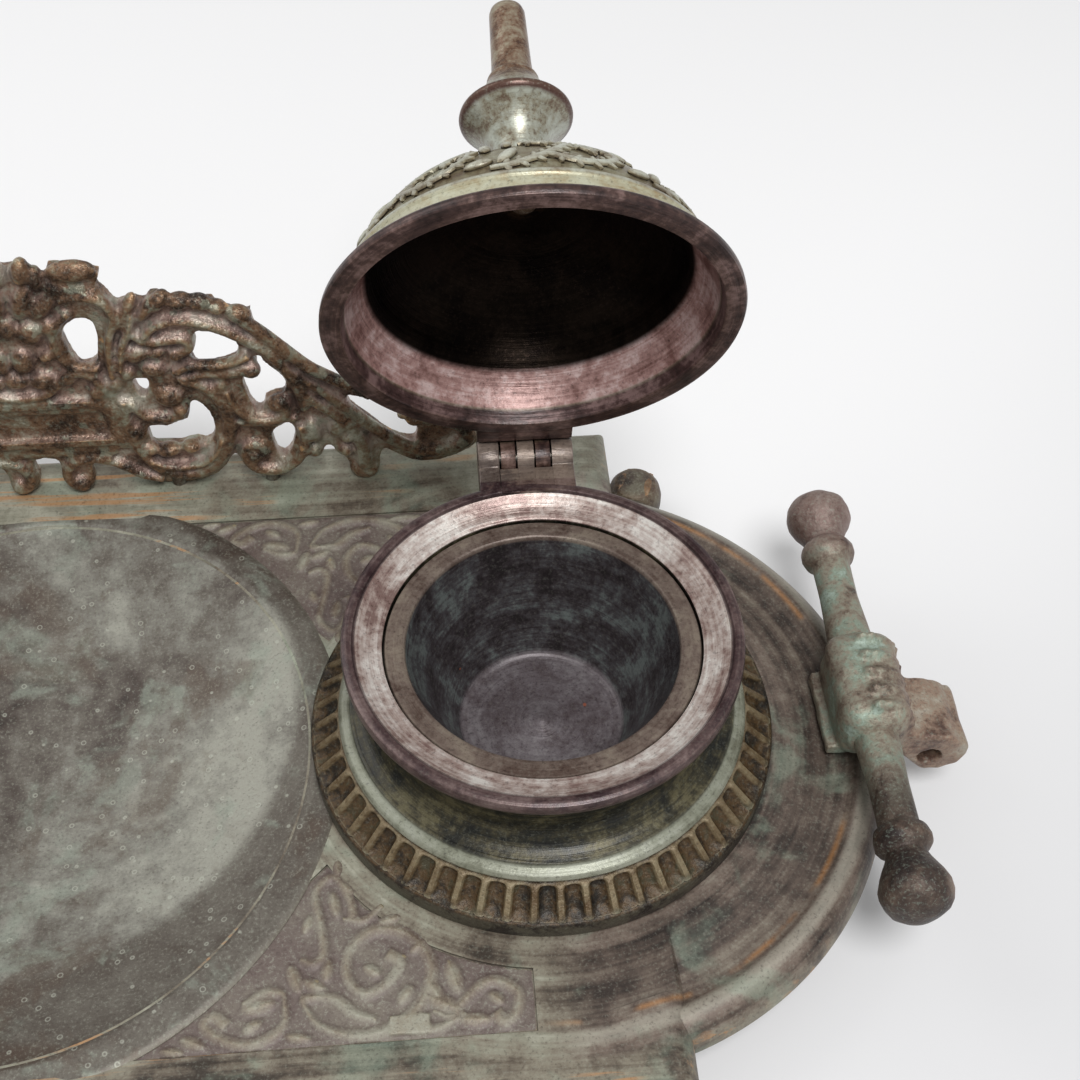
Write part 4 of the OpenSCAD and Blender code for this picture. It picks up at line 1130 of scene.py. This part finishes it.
# %% Gallery drawing
GALLERY_AT = (0, TRAY[1] + 64.5, PLATE_Z + BORDER_H)
SILHOUETTE = [
    (0, 9.6), (2, 9.3), (2.6, 8), (2.6, 6.6), (2.2, 4.7), (2.6, 2.4), (4, 0.9), (5.8, 0.3),
    (7.5, 1), (8.3, 2.7), (8.2, 4.6), (8.4, 6.6), (9.3, 7.9), (10.6, 7.7), (12.6, 6.3),
    (14.3, 4.9), (16.5, 2.9), (19, 1.7), (22.4, 1.1), (26.3, 1), (29.6, 1.6), (32.5, 3),
    (34.5, 5.2), (36.1, 8.1), (37.5, 8.3), (37.7, 6.5), (38.8, 4.3), (40.6, 2.7), (43.2, 2),
    (45.6, 2.6), (47.8, 4.2), (49.3, 6.5), (50, 8.1), (51.9, 6.9), (53.2, 7.5), (54.2, 9),
    (55.5, 9.4), (56.3, 7.2), (57.8, 5.8), (58.5, 4.2), (58.5, 2), (59.2, 0.5), (60.9, 0.1),
    (62.8, 0.3), (64.1, 1.5), (64.7, 3.2), (64.7, 5.2), (65.7, 7.9), (68, 6), (70.6, 4.1),
    (73, 3.3), (76.7, 3.5), (80, 4.7), (83, 6.6), (85, 9), (85, 12.2), (83.2, 15.4), (79.4, 17.8),
    (75, 18.9), (71.2, 19.2), (69, 18.6), (69, 17), (70, 15.4), (72, 14.2), (72.6, 12.6),
    (72, 11.3), (69.5, 11.7), (67.6, 12.6), (65.7, 14.1), (63.7, 16.5), (61.7, 18.8), (60, 20.7),
    (59.2, 22.5), (60.6, 22.4), (62.4, 21.7), (64.2, 21.6), (64.8, 22.3), (63.5, 23.9),
    (61.8, 25.5), (59.6, 27.3), (57.6, 28.7), (55.4, 30.1), (53.4, 31.6), (51.8, 33.2),
    (50, 35.7), (47.4, 38.6), (45.4, 40.6), (44.3, 42), (44.1, 43.6), (44.5, 44.9), (43.8, 45.8),
    (42, 46.4), (40, 47.2), (38.2, 47.7), (37.8, 48.8), (36.5, 49.6), (34.3, 49.5), (32.8, 50.5),
    (31, 50.3), (29.9, 49.7), (28.4, 51.3), (27.1, 51), (25.8, 49.7), (24.4, 50.5), (22.9, 50.2),
    (21.7, 49.6), (20.8, 49), (19.8, 50.9), (18.3, 52.4), (19.2, 53.5), (19.6, 54.8), (19.2, 56),
    (18, 57), (16.3, 57.9), (14.3, 58.1), (12.7, 58.7), (11, 57.8), (9.7, 55.2), (8.7, 57.2),
    (7.8, 56.9), (6.4, 59.2), (3.4, 58.6), (1.8, 59.4), (0, 59.6)]
HOLES = [
    [(10.1, 40.2), (10.5, 41.8), (11.4, 43.3), (13.2, 44.6), (14.7, 44.8), (16, 44.2),
     (16.4, 42.5), (16.4, 40.6), (15.9, 38.3), (15.2, 36.1), (13.5, 35.6), (11.7, 35.4),
     (10.8, 36.4)],
    [(20.4, 29.6), (23.5, 29.4), (23.1, 27.7), (21.9, 26.4), (20.8, 27.4)],
    [(31, 23.5), (30.1, 22.6), (29.6, 20.1), (29, 18.5), (27, 17.8), (24.9, 16.8),
     (23.1, 17.1), (21.3, 16.9), (20.9, 15.6), (21.1, 13.7), (24.5, 13.7), (26.5, 13.5),
     (28.1, 14.1), (29.8, 14.5), (31.3, 13.8), (32.8, 14.3), (33.7, 15.6), (33.7, 18.1),
     (33.2, 20.3), (32.3, 22.1)],
    [(33.3, 39.3), (33.9, 40.4), (36.5, 40.1), (38.8, 39.2), (40.6, 37.7), (41.1, 36.5),
     (40.3, 35.3), (38, 34.6), (35.6, 34.1), (32.8, 34), (31.9, 34.8), (32.6, 35.9),
     (33.5, 37.1)],
    [(43.5, 34.1), (44.7, 33.7), (45.1, 32.2), (47, 29.9), (48.2, 28.3), (48.6, 26.6),
     (47.9, 25.6), (46.1, 25.3), (44.2, 23.6), (43.6, 21.6), (42.5, 21.5), (41.4, 22.8),
     (40.9, 25), (40.6, 27), (40.8, 28.5), (43.4, 29.9), (43.8, 31.7), (43.3, 33.1)],
    [(47.7, 16.3), (46.2, 15.3), (45.1, 14.6), (44.2, 13), (44.4, 10.9), (44.8, 9.3),
     (46.2, 9), (47.8, 10.3), (48.8, 12.8), (48.8, 15)]]
RIBS = [  # path, widths and lift of each rounded rib
    ([(24, 39.4), (26.6, 42.6), (30.6, 44), (34.6, 43.4), (38.6, 41.6), (42.4, 39),
      (46.2, 35.4), (49.2, 30.6), (51, 25.2), (51.6, 20.5)], (1.6, 2.2, 2.6, 2.2), 1.9),
    ([(42.8, 43), (46, 39.6), (49.6, 35.2), (53.4, 30.8), (57.6, 27.6), (61.4, 25),
      (64, 22.8)], (2.6, 2.6, 2.4, 1.6), 1.6),
    ([(47.6, 32.4), (52, 28.2), (56, 24.2), (59.4, 20.2), (63, 15.6), (67, 11.4),
      (71.2, 8.2), (75.8, 7), (80, 8), (82.4, 10.6), (81.4, 13.6), (77.6, 15.4), (73, 16.6)],
     (1.6, 2.4, 2.6, 3.2, 3.4, 2.6), 1.7),
    ([(51.4, 26), (53.4, 22.6), (56.6, 19.4), (60, 15), (61.6, 10), (61.8, 4)],
     (1.6, 2.6, 3, 3.2), 1.9),
    ([(18.2, 24.8), (17.6, 18), (18.8, 11.4), (21.6, 6.4), (26.4, 4), (31.4, 5.6),
      (35, 10.4), (36.8, 16.8), (36.2, 23), (33.4, 27.4), (29.8, 29.4)],
     (2.2, 2.4, 3, 3.2, 2.8, 2.2), 1.5),
    ([(20.4, 8.8), (24.6, 6.8), (30, 7.4), (33.4, 10.2), (35, 14)], (1.2, 1.6, 1.2), 2.2),
    ([(37.4, 26), (38.6, 21.8), (40.8, 18.8), (44.2, 17.6), (47.4, 19), (48, 22),
      (46.4, 23.4)], (1.6, 2.2, 2.4, 2), 1.7),
    ([(37, 14.8), (38.2, 17.2), (42.2, 17), (46.4, 17.6), (49.8, 17.8)],
     (1.6, 1.8, 1.4), 1),
    ([(50.2, 16), (50.6, 11), (48.6, 6.4), (44.6, 3.8), (40.6, 4.6), (38.6, 8), (39.6, 11.2),
      (42.2, 10.8), (42.4, 8.6)], (1.8, 2.4, 2.6, 2.2, 2.2), 1.5),
    ([(28.6, 31.4), (31.6, 33), (35.4, 32.8), (39.2, 33.2), (42.8, 34.8)],
     (1.6, 2, 1.6), 1.8),
    ([(29, 29.4), (34, 30.6), (38.6, 30.4), (42.2, 31.4)], (1.8, 2.6, 2.8), 1.3),
    ([(22.6, 41.4), (25, 39.2), (28.4, 39.4), (31.6, 39.4), (32.4, 37.4), (30.8, 36.4)],
     (1.6, 2.2, 1.8, 2.6), 1.6),
    ([(19.2, 24.2), (21.6, 20.4), (25.2, 19.6), (28.6, 20.6)], (1.8, 2.4, 2.4), 1.4),
    ([(17.4, 31), (17.8, 36), (18.8, 41), (20.4, 45.6), (18.6, 49.4), (14.6, 50.6),
      (11.8, 49.8)], (1.4, 1.8, 2.2, 2), 1.7),
    ([(19.2, 32.6), (20.4, 38), (22.4, 42.4), (23.6, 46)], (1.2, 1.8, 1.2), 1.9),
    ([(15.6, 33.2), (10.6, 34), (8.8, 38), (9.2, 43), (12.6, 46.6)], (1.6, 2, 1.8), 1.3),
    ([(0, 26.6), (4.4, 27.4), (7.4, 30), (10.4, 32.6), (13.6, 31.6), (15, 28.6),
      (13.6, 26.8)], (1.8, 2, 2.2, 2.6), 1.6),
    ([(13, 9.6), (9.4, 9.8), (5.4, 8.8), (3.6, 5.6), (4.6, 2.6), (6.8, 2.8)],
     (2.2, 2.4, 2.4, 2.8), 1.5),
    ([(10, 9.4), (14.2, 8), (18, 4.6), (22, 3)], (1.4, 2.2, 2), 1.4)]
LEAVES_UP = [  # centre, half length, half width, turn and lift of leaf lobes
    (15, 55.8, 4.6, 2.2, 2, 1.3), (13.4, 52.2, 4.2, 1.9, -8, 1), (6.6, 56.2, 3, 1.7, 80, 1.2),
    (8.8, 54.6, 2.6, 1.2, 86, 1), (2.4, 56.4, 3.2, 1.8, 96, 1.4), (0.6, 50.6, 4.4, 2, 90, 1.6),
    (5.2, 49.6, 4.4, 1.9, 68, 1.4), (8.6, 48.6, 4.2, 1.7, 50, 1.4), (5, 42.6, 2.8, 2.4, 70, 2),
    (1.2, 44, 2.6, 1.9, 90, 1.8), (8.8, 43.8, 2.2, 1.9, 30, 1.5), (2.2, 36, 3, 2.2, 80, 1.8),
    (6.8, 37.2, 2, 1.4, 20, 1.8), (4.6, 31.2, 2.6, 1.9, 25, 2), (9.4, 31.2, 2.2, 1.5, 60, 0.9),
    (0.4, 31.4, 2, 1.8, 0, 2.1), (14, 27.6, 1.9, 1.9, 0, 1.8), (23.2, 47.6, 3.1, 1.3, 62, 1.3),
    (26, 46.6, 3.2, 1.2, 56, 1.3), (28.6, 48.4, 2.8, 1.5, 50, 1.4),
    (32.2, 48.2, 2.4, 1.7, 12, 1.5), (35.6, 47.8, 2.3, 1.6, -8, 1.5),
    (38.6, 46.4, 2, 1.4, -14, 1.4), (42.2, 44.6, 2.5, 1.9, -20, 1.7),
    (21.4, 45, 3.4, 1.1, 66, 1.3), (22.6, 36.6, 2.5, 1.9, 30, 1.9),
    (26.2, 36.8, 2.2, 1.2, 20, 1.5), (25, 32.6, 2.6, 1.7, -20, 1.7),
    (29.8, 36.2, 1.6, 1.5, 0, 2.1), (26.6, 25.2, 2.9, 2.4, -12, 1.6),
    (28.2, 22, 1.6, 1.5, 0, 1.8), (20, 31.8, 2, 1.6, 40, 1.2), (42.6, 31, 2, 1.7, 0, 1.8),
    (36.6, 27.6, 2.2, 1.6, 60, 1), (46.4, 22.2, 1.9, 1.9, 0, 2.1), (40.4, 8.8, 2.1, 2.1, 0, 2),
    (24.2, 11, 2.6, 1.5, 8, 1.6), (28.6, 11.6, 2, 1.3, -6, 1.5), (20.8, 11.4, 1.6, 1.4, 0, 1.2),
    (52.4, 14.6, 1.7, 3.4, 4, 1.8), (57.4, 15.6, 1.8, 3.2, -24, 1.9),
    (59.2, 12.8, 2, 1.5, 30, 2.2), (52.2, 9, 1.8, 1.9, 0, 1.3), (61.6, 2.7, 2.8, 2.4, 0, 1.6),
    (58.4, 8.4, 1.6, 1.8, 0, 1), (16, 15.4, 2, 3.6, 0, 1), (15.8, 22.6, 1.8, 3.2, 0, 0.9),
    (19, 16.4, 1.5, 2.6, 10, 1.3), (5.8, 3, 2.2, 2, 0, 1.8), (72.2, 16.2, 2, 1.7, 0, 1.6),
    (70.4, 17.6, 1.8, 1.1, 20, 1), (17.6, 29.4, 1.6, 2, 0, 1.1)]


def settled(loop, is_hole):
    """Allow for the plate's thickness: edges that face up are seen at its back."""
    area = sum(a[0] * b[1] - b[0] * a[1] for a, b in zip(loop, loop[1:] + loop[:1]))
    turn = 1 if (area > 0) != is_hole else -1
    result = []
    for before, at, after in zip(loop[-1:] + loop, loop, loop[1:] + loop[:1]):
        along = Vector((after[0] - before[0], after[1] - before[1])).normalized()
        facing_up = max(0.0, -along.x * turn)
        result.append((at[0], max(0.1, at[1] - 0.8 - 2.6 * facing_up)))
    return result


def gallery_half():
    """The right half, lying flat: pierced plate, ribs, leaf lobes and the centre's mouldings."""
    loops = [settled(SILHOUETTE, False)] + [settled(hole, True) for hole in HOLES]
    bm = filled(bmesh.new(), loops, -2.2, 0.7)
    for points, widths, lift in RIBS:
        strand(bm, [(x, y - 0.7, lift * 0.75) for x, y in points], widths, [2.8] * 2, 8, 4)
    for x, y, long, wide, turn, lift in LEAVES_UP:
        blob(bm, (x, y - 1.0, lift * 0.5), (long, wide, 1.9), turn)
    for y, drop in ((23.4, 2.0), (13.2, 3.2)):  # the two mouldings of the centre
        slab(bm, (-0.5, y, -1), (14.6, y + 1.6, 2.3))
        slab(bm, (-0.5, y - drop, -1), (14.6, y + 0.2, 1.7))
    slab(bm, (14.0, 11.5, -2.1), (17.2, 27.5, 1.7))  # and the upright beside them
    return bm


def gallery_form():
    """Both halves in one skin, stood up."""
    half = gallery_half()
    bmesh.ops.scale(half, vec=(-1, 1, 1), verts=copied(half))
    return rotated(fused(outward(half), 0.46, 1), math.pi / 2, "X")


finished("acanthus_gallery", gallery_form(), "stand", gallery_finish,
         GALLERY_AT, ["gallery"], smooth=70)

# %% [markdown]
# ## End handles
# Across each end lies a turned bar with a mushroom knob, a fat bead and a
# slightly flattened shaft at both ends. It passes through a rounded block,
# smooth on its inner side and ribbed on its outer one, and a lug with a groove
# and an eye hangs outside the block. They are rough castings: the block and lug
# are fused into one, and the bar is given a slight waver.

# %% Handles
noise.seed_set(1)  # noise_vector takes its offsets from the clock until it has a seed
BAR_HALF = [(0, 0), (3.9, 0), (3.9, 11), (3.55, 20), (3.45, 27.4), (3.7, 28.2), (4.6, 28.9),
            (4.95, 30.0), (4.9, 31.2), (4.3, 32.1), (3.6, 32.6), (3.5, 33.2), (3.9, 34.2),
            (4.7, 35.8), (5.5, 37.2), (6.0, 38.6), (6.05, 40.0), (5.7, 41.4), (4.9, 42.6),
            (3.6, 43.5), (2.0, 44.1), (0, 44.3)]


def bar_form():
    """Two turned halves, with a flattened shaft and the waver of a rough casting."""
    bm = bmesh.new()
    for end in (0, 1):
        half = bmesh.new()
        spun(half, BAR_HALF, 48)
        if end:
            outward(flipped(half, 1, 1, -1))
        added(bm, half)
    for vert in bm.verts:
        along, around = abs(vert.co.z), math.atan2(vert.co.y, vert.co.x)
        if 12 < along < 27:
            vert.co.xy *= 1 - 0.05 * abs(math.sin(around * 4))
        vert.co += Vector(noise.noise_vector(vert.co * 0.35)) * 0.22
    return rotated(bm, -math.pi / 2, "X")


def block_form():
    """The rounded block, ribbed on its outer side."""
    bm = bmesh.new()
    slab(bm, (-6, -10, -6.3), (6.3, 10, 6.2))
    bevelled(bm, bm.edges[:], 3.4, 5)
    for y in (-7.2, -3.6, 0, 3.6, 7.2):
        points = arc((0, 0), 6.3, 96, -38, 9)
        for a, b in zip(points, points[1:]):
            blob(bm, ((a[0] + b[0]) / 2, y, (a[1] + b[1]) / 2), (1.5, 1.05, 1.5), 0, 1)
    for y in (-9.3, 9.3):
        blob(bm, (0, y, -0.2), (5.2, 1.6, 5.2))
    slab(bm, (-7.5, -8, -6.6), (-2, 8, -4.4))
    return bm


LUG = [(4.5, -4.0), (6.0, -7.6), (8.6, -11.6), (11.0, -13.9), (14.4, -14.2), (17.4, -12.8),
       (18.6, -10.2), (18.5, -7.8), (17.6, -6.2), (16.6, -6.2), (16.0, -5.3), (14.8, -4.3),
       (12.4, -3.7), (9.6, -3.2), (7.2, -2.2), (4.5, 1.0)]


def strap_form():
    """The block with its lug, cast in one."""
    lug = bmesh.new()
    pushed(lug, LUG, -6.5, 6.5, 0.9)
    eye = bmesh.new()
    bmesh.ops.create_cone(eye, cap_ends=True, segments=28, radius1=2.1, radius2=2.1, depth=30,
                          matrix=Matrix.Translation((0, 11.6, -9.6))
                          @ Matrix.Rotation(math.pi / 2, 4, "Y"))
    lug = rotated(joined(outward(lug), eye, "DIFFERENCE"), -math.pi / 2, "Z")
    cast = fused(added(block_form(), moved(lug, (0, -1.5, 0))), 0.4)
    for vert in cast.verts:
        vert.co += Vector(noise.noise_vector(vert.co * 0.3)) * 0.25
    return cast


for name, side in SIDES.items():
    at = (BAR.x * side, BAR.y, BAR.z)
    finished(f"turned_bar_{name}", flipped(bar_form(), side), "stand",
             handle_finish, at, [f"handle_bar_{name}"], smooth=60)
    finished(f"ribbed_block_{name}", flipped(strap_form(), side), "stand",
             handle_finish, (at[0], TRAY[1], at[2]), [f"handle_strap_{name}"], smooth=60)

# %% [markdown]
# ## Screws and hinge pins
# The screws and pins keep the frame's own solids, in a dull, lightly rusted
# steel. Only the short screws of the end blocks are turned again, with a slot.

# %% Steel
steel = Finish("dull_steel")
steel.start(steel.film(3), [(84, 70, 60), (112, 106, 98), (134, 131, 126)])
steel_finish = steel.age((58, 44, 36), (170, 168, 160), reach=1.0, metal=0.8, rough=0.4,
                         depth=0.1)
for node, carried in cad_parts.items():
    if "pin" in node or "screws" in node:
        carried.data.materials.clear()
        carried.data.materials.append(steel_finish)
        print(node, "is steel")
SCREW_GAP = 10
for name in SIDES:
    screws = bmesh.new()
    spun(screws, [(0, -8), (2.2, -8), (3, -7.4), (3, -6.1), (1.5, -6.05), (1.5, -2.2), (1.2, -1.8),
                  (0, -1.8)], 32)
    slot_cut = bmesh.new()
    slab(slot_cut, (-4, -0.4, -9), (4, 0.4, -7.3))
    screws = joined(screws, slot_cut, "DIFFERENCE")
    bmesh.ops.translate(screws, vec=(0, -SCREW_GAP, 0), verts=copied(screws))
    place = middle(f"handle_screws_{name}")
    finished(f"block_screws_{name}", screws, "stand", steel_finish,
             (place.x, place.y + SCREW_GAP / 2, PLATE_Z), [f"handle_screws_{name}"])

# %% [markdown]
# ## Feet
# Four bracket feet end in rounded toes, and only the back pair shows from
# above. A toe is turned, and the bracket is a broad strand swept back from it.

# %% Feet
FOOT_ANGLE, FOOT_TOP = math.radians(69), 9.9


def foot_form():
    """A turned toe, with the broad strand of the bracket behind it."""
    bm = bmesh.new()
    spun(bm, [(0, 0), (3.6, 0), (4.6, 0.5), (5.3, 1.8), (5.6, 3.6), (5.6, 6.0), (5.1, 8.0),
              (4.2, 9.2), (2.6, 9.8), (0, 9.85)], 48)
    blob(bm, (0, 0, 6.6), (4.9, 4.9, 3.1))
    strand(bm, [(1, 0, 5.6), (-4, 0, 6.6), (-9, 0, 7.4), (-19, 0, 8.1)],
           [7.6, 8.4, 9.0, 8.2], [5.4, 4.6, 4.2, 3.6], 14, 4)
    for y in (-2.2, 2.2):
        strand(bm, [(4.4, y, 7.4), (0, y * 1.2, 9.4), (-2.6, y * 1.3, 8.6)], [1.6, 1.8, 1.4],
               None, 8, 4)
    return bm


for name, side in SIDES.items():
    for row_name, row in ROWS.items():
        node = f"foot_{row_name}_{name}"
        reach = LOBE_R + 8.4 if row > 0 else LOBE_R - 14
        foot = foot_form()
        bmesh.ops.transform(foot, matrix=Matrix.Rotation(FOOT_ANGLE, 4, "Z")
                            @ Matrix.Translation((reach, 0, 0)), verts=foot.verts)
        for vert in foot.verts:
            vert.co.z = min(vert.co.z, FOOT_TOP)
        moved(foot, (WELL_X, 0, 0))
        finished(f"toe_{row_name}_{name}", flipped(foot, side, row), "stand",
                 foot_finish, (0, TRAY[1], 0), [node])

# %% [markdown]
# ## Daylight and floor
# The photograph has plain soft light, on white paper. The near knob's shadow
# falls behind its foot point, so the main lamp is high and on the writer's
# side. A pale even world lights every recess, and a weak broad lamp comes from
# the back left. The floor keeps the shadow, and looks whiter to camera and
# mirror rays only.

# %% Daylight and floor
world = bpy.data.worlds.new("daylight")
world.use_nodes = True
sky = world.node_tree.nodes
sky["Background"].inputs["Color"].default_value = (1.0, 1.0, 1.0, 1.0)
sky["Background"].inputs["Strength"].default_value = 0.46
bpy.context.scene.world = world


def lamp(name, place_mm, size_mm, watts):
    """A round area lamp that faces the right half of the stand."""
    light = bpy.data.lights.new(name, "AREA")
    light.shape, light.size, light.energy = "DISK", size_mm * MM, watts
    obj = bpy.data.objects.new(name, light)
    place, target = Vector(place_mm) * MM, Vector((60, 0, 20)) * MM
    obj.matrix_world = (Matrix.Translation(place)
                        @ (place - target).to_track_quat("Z", "Y").to_matrix().to_4x4())
    bpy.context.scene.collection.objects.link(obj)


lamp("window", (200, -400, 880), 400, 6.8)
lamp("fill", (-420, 260, 520), 520, 1.2)

paper = Finish("paper")
rays = paper.node("ShaderNodeLightPath")
camera_ray, glossy_ray, transmission_ray = (
    Number(paper, rays.outputs[f"Is {kind} Ray"]) for kind in ("Camera", "Glossy", "Transmission"))
looked_at = (camera_ray + glossy_ray + transmission_ray).between(0.0, 0.9)
x, y, z = paper.place_mm()
shade = (x - y).between(40, 320)  # painted shade: the paper darkens to the front right
paper_colour = paper.mix(shade, (0.76, 0.76, 0.765, 1), (0.56, 0.56, 0.57, 1))
matt = paper.node("ShaderNodeBsdfDiffuse", {}, {"Color": paper_colour})
glow = paper.node("ShaderNodeEmission", {}, {"Color": (0.1, 0.1, 0.1, 1), "Strength": 1.0})
lit = paper.node("ShaderNodeAddShader", {}, {0: matt.outputs[0], 1: glow.outputs[0]})
blend = paper.node("ShaderNodeMixShader", {}, {0: looked_at, 1: matt.outputs[0],
                                               2: lit.outputs[0]})
paper.node("ShaderNodeOutputMaterial", {}, {"Surface": blend.outputs[0]})

floor_bm = bmesh.new()
bmesh.ops.create_grid(floor_bm, x_segments=1, y_segments=1, size=6)
floor_mesh = bpy.data.meshes.new("floor")
floor_bm.to_mesh(floor_mesh)
floor_bm.free()
floor = bpy.data.objects.new("floor", floor_mesh)
floor.data.materials.append(paper.material)
bpy.context.scene.collection.objects.link(floor)
print("lamps and floor placed")
